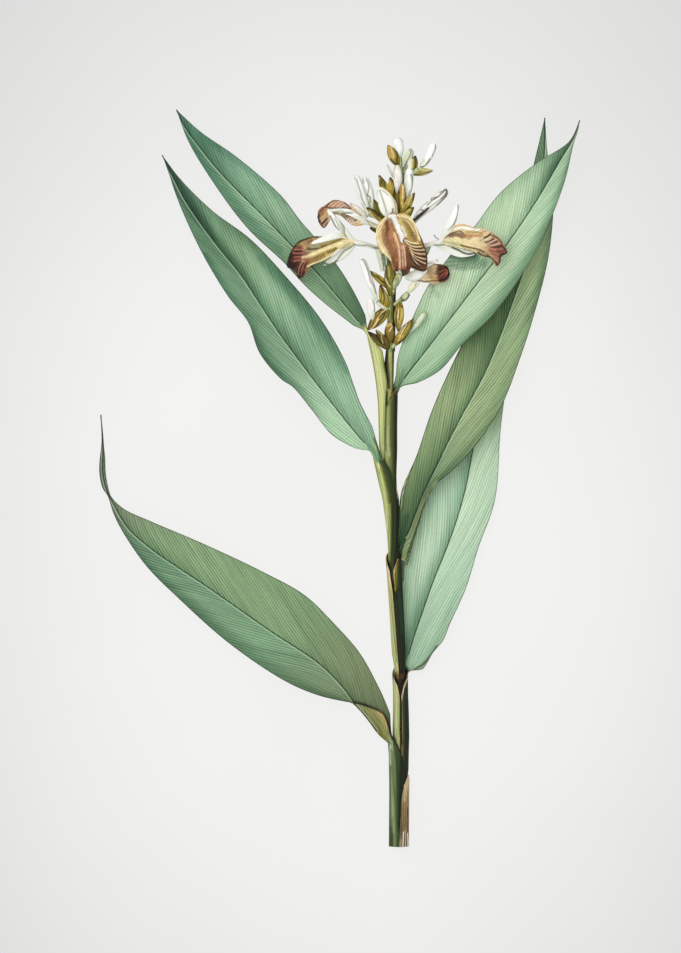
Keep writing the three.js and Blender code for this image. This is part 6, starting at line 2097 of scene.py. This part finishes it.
# each bud's lit tone, its painted shade tone, and the tone of its seat
BUD_TONES = {
    "usual": ((250, 250, 246), (168, 178, 160), (206, 216, 190)),
    "bud_crown_right": ((232, 236, 218), (120, 132, 96), (190, 204, 160)),
    "bud_upper": ((248, 242, 236), (150, 152, 132), (214, 214, 190)),
    "bud_striped": ((248, 246, 240), (120, 124, 108), (150, 156, 134)),
    "bud_centre": ((214, 220, 170), (104, 116, 76), (160, 172, 120)),
    "bud_behind_lip": ((176, 186, 156), (84, 94, 62), (150, 164, 130)),
    "bud_lowest_right": ((208, 226, 206), (140, 168, 140), (150, 170, 120)),
    "bud_right_low": ((250, 248, 228), (168, 172, 130), (206, 214, 160)),
}


def bud_radius(radius, length):
    """The solid's swelling up to its widest place, and from there a round end."""
    u = np.linspace(0.0, 1.0, BUD_SAMPLES)
    cap = np.maximum(BUD_CAP["earliest"], 1.0 - BUD_CAP["roundness"] * radius / length)
    past = np.maximum(u - cap, 0.0) / (1.0 - cap)
    end = np.sqrt(np.clip(1.0 - past ** BUD_CAP["power"], 1e-4, 1.0))
    return radius * along(BUD_SWELLING, u / cap) * end


def furrows(u, turn):
    """1 - depth * |cos(1.5 turn)|^power * sin(pi u)^0.5: three furrows, seat to tip."""
    fade = np.sin(np.pi * np.clip(u, 0, 1)) ** 0.5
    return 1.0 - FURROW_DEPTH * np.abs(np.cos(1.5 * turn)) ** FURROW_POWER * fade


for name, (line, radius) in BUDS.items():
    light, dark, base_tone = BUD_TONES.get(name, BUD_TONES["usual"])
    radii = bud_radius(radius, walk(line, 0.0)[1])
    shell = round_shell(line, radii, *BUD_GRID, light, dark, BUD_LEAN, furrows)
    at_base = np.exp(-((shell["share"] / BASE_LENGTH) ** 2))[:, None] * BASE_STRENGTH
    shell["tones"] = toward(shell["tones"], at_base, base_tone)
    new_piece(f"{name}_club", [shell], petal_finish, name)

# %% [markdown]
# ## Open flowers
# Each has a thin tube, one or two narrow white petals, and a broad lip that hangs from
# the tube's mouth like a little apron. Tube and petals are one piece.

# %% Tubes and petals
# the lit tone and the painted shade tone of the tubes
TUBE_SHADES = ((240, 242, 228), (150, 160, 136))
PETAL_GRID = (72, 31)
PETAL_HALF_SHEET = 0.22
PETAL_SWELL = {"foot": 0.3, "belly": 0.7, "power": 0.85, "round_end": 0.94, "cup": 0.22}
PETAL_TIP_SHARE = 0.06
PETAL_TONES = [(220, 226, 204), (236, 238, 226), (246, 246, 238), (246, 246, 238)]
PETAL_SHADOW = {"tone": (176, 184, 162), "strength": 0.6, "length": 2.0, "v": 0.95, "width": 0.3}
SMALL_PETALS = {
    "flower_left": [(rows("3.4 125.4 37.2, -3.4 124.6 38.8, -14 121.2 39.4"), 3.2),
                    (rows("1.6 127.2 36.6, -2.4 132 37.2, -5.2 137.4 37.2"), 1.4)],
    "flower_lower_right": [(rows("34.4 103.8 31.4, 40.2 104.8 33.6, 45.8 107.6 34.6"), 5.0)],
}


def petal_shell(line, width):
    """Half width = width / 2 * (foot + belly * sin(pi * min(u, end)^power)), cupped by
    cup * half * v^2, with a soft shadow along its right margin."""
    u, v = np.linspace(0.0, 1.0, PETAL_GRID[0]), np.linspace(-1.0, 1.0, PETAL_GRID[1])
    centre, length = walk(line, u)
    tangent = heading(line, u)
    side = np.stack([tangent[:, 1], -tangent[:, 0], np.zeros(len(u))], 1)
    side /= np.linalg.norm(side, axis=1, keepdims=True)
    swell = PETAL_SWELL
    belly = np.sin(np.pi * np.minimum(u, swell["round_end"]) ** swell["power"])
    half = 0.5 * width * (swell["foot"] + swell["belly"] * belly)
    half *= np.sqrt(np.clip((1.0 - u) / PETAL_TIP_SHARE, 0.05, 1.0))
    points = centre[:, None, :] + side[:, None, :] * (half[:, None] * v)[..., None]
    points[..., 2] -= swell["cup"] * half[:, None] * v ** 2
    grid_u, grid_v = u[:, None] * np.ones_like(v), v * np.ones_like(u[:, None])
    right = np.sign(side[len(u) // 2, 0]) or 1.0
    shadow = PETAL_SHADOW
    beside = ((grid_v - shadow["v"] * right) / shadow["width"]) ** 2
    weight = shadow["strength"] * np.exp(-(((grid_u - 0.5) / shadow["length"]) ** 2) - beside)
    tones = toward(tones_along(PETAL_TONES, grid_u), weight[..., None], shadow["tone"])
    thickness = np.full(grid_u.shape, PETAL_HALF_SHEET)
    fields = {"across": v * half[:, None], "along": grid_u * length}
    return sheet_shell(points, thickness, tones, tones * 0.9, fields)


for name, flower in FLOWERS.items():
    shells = [thread_shell(flower["tube"], TUBE_GRID, *TUBE_SHADES, BUD_LEAN)]
    petals = flower["petals"] + SMALL_PETALS.get(name, [])
    shells += [petal_shell(line, width) for line, width in petals]
    new_piece(f"{name}_tube_and_petals", shells, petal_finish, f"{name}_petals")

# %% [markdown]
# ## The lips
# A lip has a frilled edge, and veins that fork off its middle. Its tones run from cream
# at its base to maroon at its tip, with a list for either half.

# %% Lips
LIP_GRID = (180, 101)
LIP_HALF_SHEET = 0.24
LIP_VEIN_ANGLE = 38.0
LIP_VEIN_GAP = 1.1
LIP_VEIN_EDGE = (0.6, 1.0)
LIP_VEIN_SHADE = 0.22
LIP_VEIN_DEPTH = 0.08
VEINLESS_BASE = (0.05, 0.2)
LIP_TONES = {
    "flower_centre": {
        "near": [(200, 176, 112), (196, 168, 98), (156, 116, 68), (116, 74, 48), (92, 56, 38)],
        "far": [(150, 112, 68), (180, 128, 82), (184, 130, 84), (164, 112, 74), (112, 70, 46)],
    },
    "flower_left": {
        "near": [(226, 214, 156), (214, 194, 122), (206, 176, 108), (150, 92, 62), (80, 38, 30)],
        "far": [(206, 190, 122), (184, 162, 96), (172, 144, 92), (130, 74, 56), (72, 34, 28)],
    },
    "flower_upper_left": {
        "near": [(216, 180, 136), (214, 178, 140), (204, 176, 144), (200, 160, 124),
                 (152, 104, 74)],
        "far": [(216, 184, 154), (224, 190, 162), (226, 192, 164), (202, 154, 120),
                (144, 94, 66)],
    },
    "flower_right": {
        "near": [(232, 220, 170), (238, 222, 166), (226, 202, 148), (190, 138, 108),
                 (132, 80, 66)],
        "far": [(232, 218, 178), (226, 206, 160), (222, 194, 150), (188, 144, 112),
                (132, 84, 66)],
    },
    "flower_lower_right": {
        "near": [(248, 246, 232), (238, 226, 196), (222, 192, 144), (140, 84, 56), (76, 34, 24)],
        "far": [(248, 246, 232), (232, 220, 184), (214, 190, 140), (130, 72, 48), (80, 36, 26)],
    },
}


def lip_shell(lip, paint):
    """The lip's blade with forked veins: relief and a darker line where
    s * sin(angle) - d * cos(angle) is a multiple of the gap."""
    u, v = np.linspace(0.0, 1.0, LIP_GRID[0]), np.linspace(-1.0, 1.0, LIP_GRID[1])
    points, widths, length = blade_grid(lip, u, v)
    normals = grid_normals(points)
    facing = 1.0 if np.mean(normals[..., 2]) > 0 else -1.0
    s, d = u[:, None] * length, np.abs(v) * widths
    lean = np.radians(LIP_VEIN_ANGLE)
    across = s * np.sin(lean) - d * np.cos(lean)
    near_edge = np.clip((1 - np.abs(v)) * 4.0, 0.0, 1.0)
    line = smooth(*LIP_VEIN_EDGE, np.abs(((across / LIP_VEIN_GAP) % 1.0) - 0.5) * 2.0)
    points = points + facing * normals * (-LIP_VEIN_DEPTH * line * near_edge)[..., None]
    grid_u = u[:, None] * np.ones_like(v)
    near, far = (tones_along(paint[key], grid_u) for key in ("near", "far"))
    tones = np.where((v >= 0)[None, :, None], near, far)
    tones = tones * (1.0 - LIP_VEIN_SHADE * line * smooth(*VEINLESS_BASE, grid_u))[..., None]
    half = np.full(grid_u.shape, LIP_HALF_SHEET)
    fields = {"across": across, "along": s * np.cos(lean) + d * np.sin(lean)}
    return sheet_shell(points, half, tones, tones * 0.8, fields)


for name, flower in FLOWERS.items():
    shell = lip_shell(flower["lip"], LIP_TONES[name])
    new_piece(f"{name}_lip_apron", [shell], lip_finish, f"{name}_lip")

# %% [markdown]
# ## Two threads
# The central flower shows a small hook of its style at the end of the lip's pale band,
# and one thread hangs from the right flower's mouth. Both are finer than the solids are.

# %% Threads
THREAD_GRID = (30, 12)
# the lit tone and the painted shade tone of the threads
THREAD_SHADES = ((104, 92, 76), (54, 44, 34))
THREADS = {
    "style_hook": (rows("33.8 121.4 43, 33.5 122.8 43.6, 34.2 123.8 43.8, 35.1 123.2 43.4"), 0.3),
    "flower_thread": (rows("49.4 125.8 35.4, 50.6 124.2 36, 53.2 122.9 36.6"), 0.22),
}
for name, (line, radius) in THREADS.items():
    thread = round_shell(line, [radius, radius, 0.7 * radius], *THREAD_GRID, *THREAD_SHADES)
    new_piece(name, [thread], petal_finish)
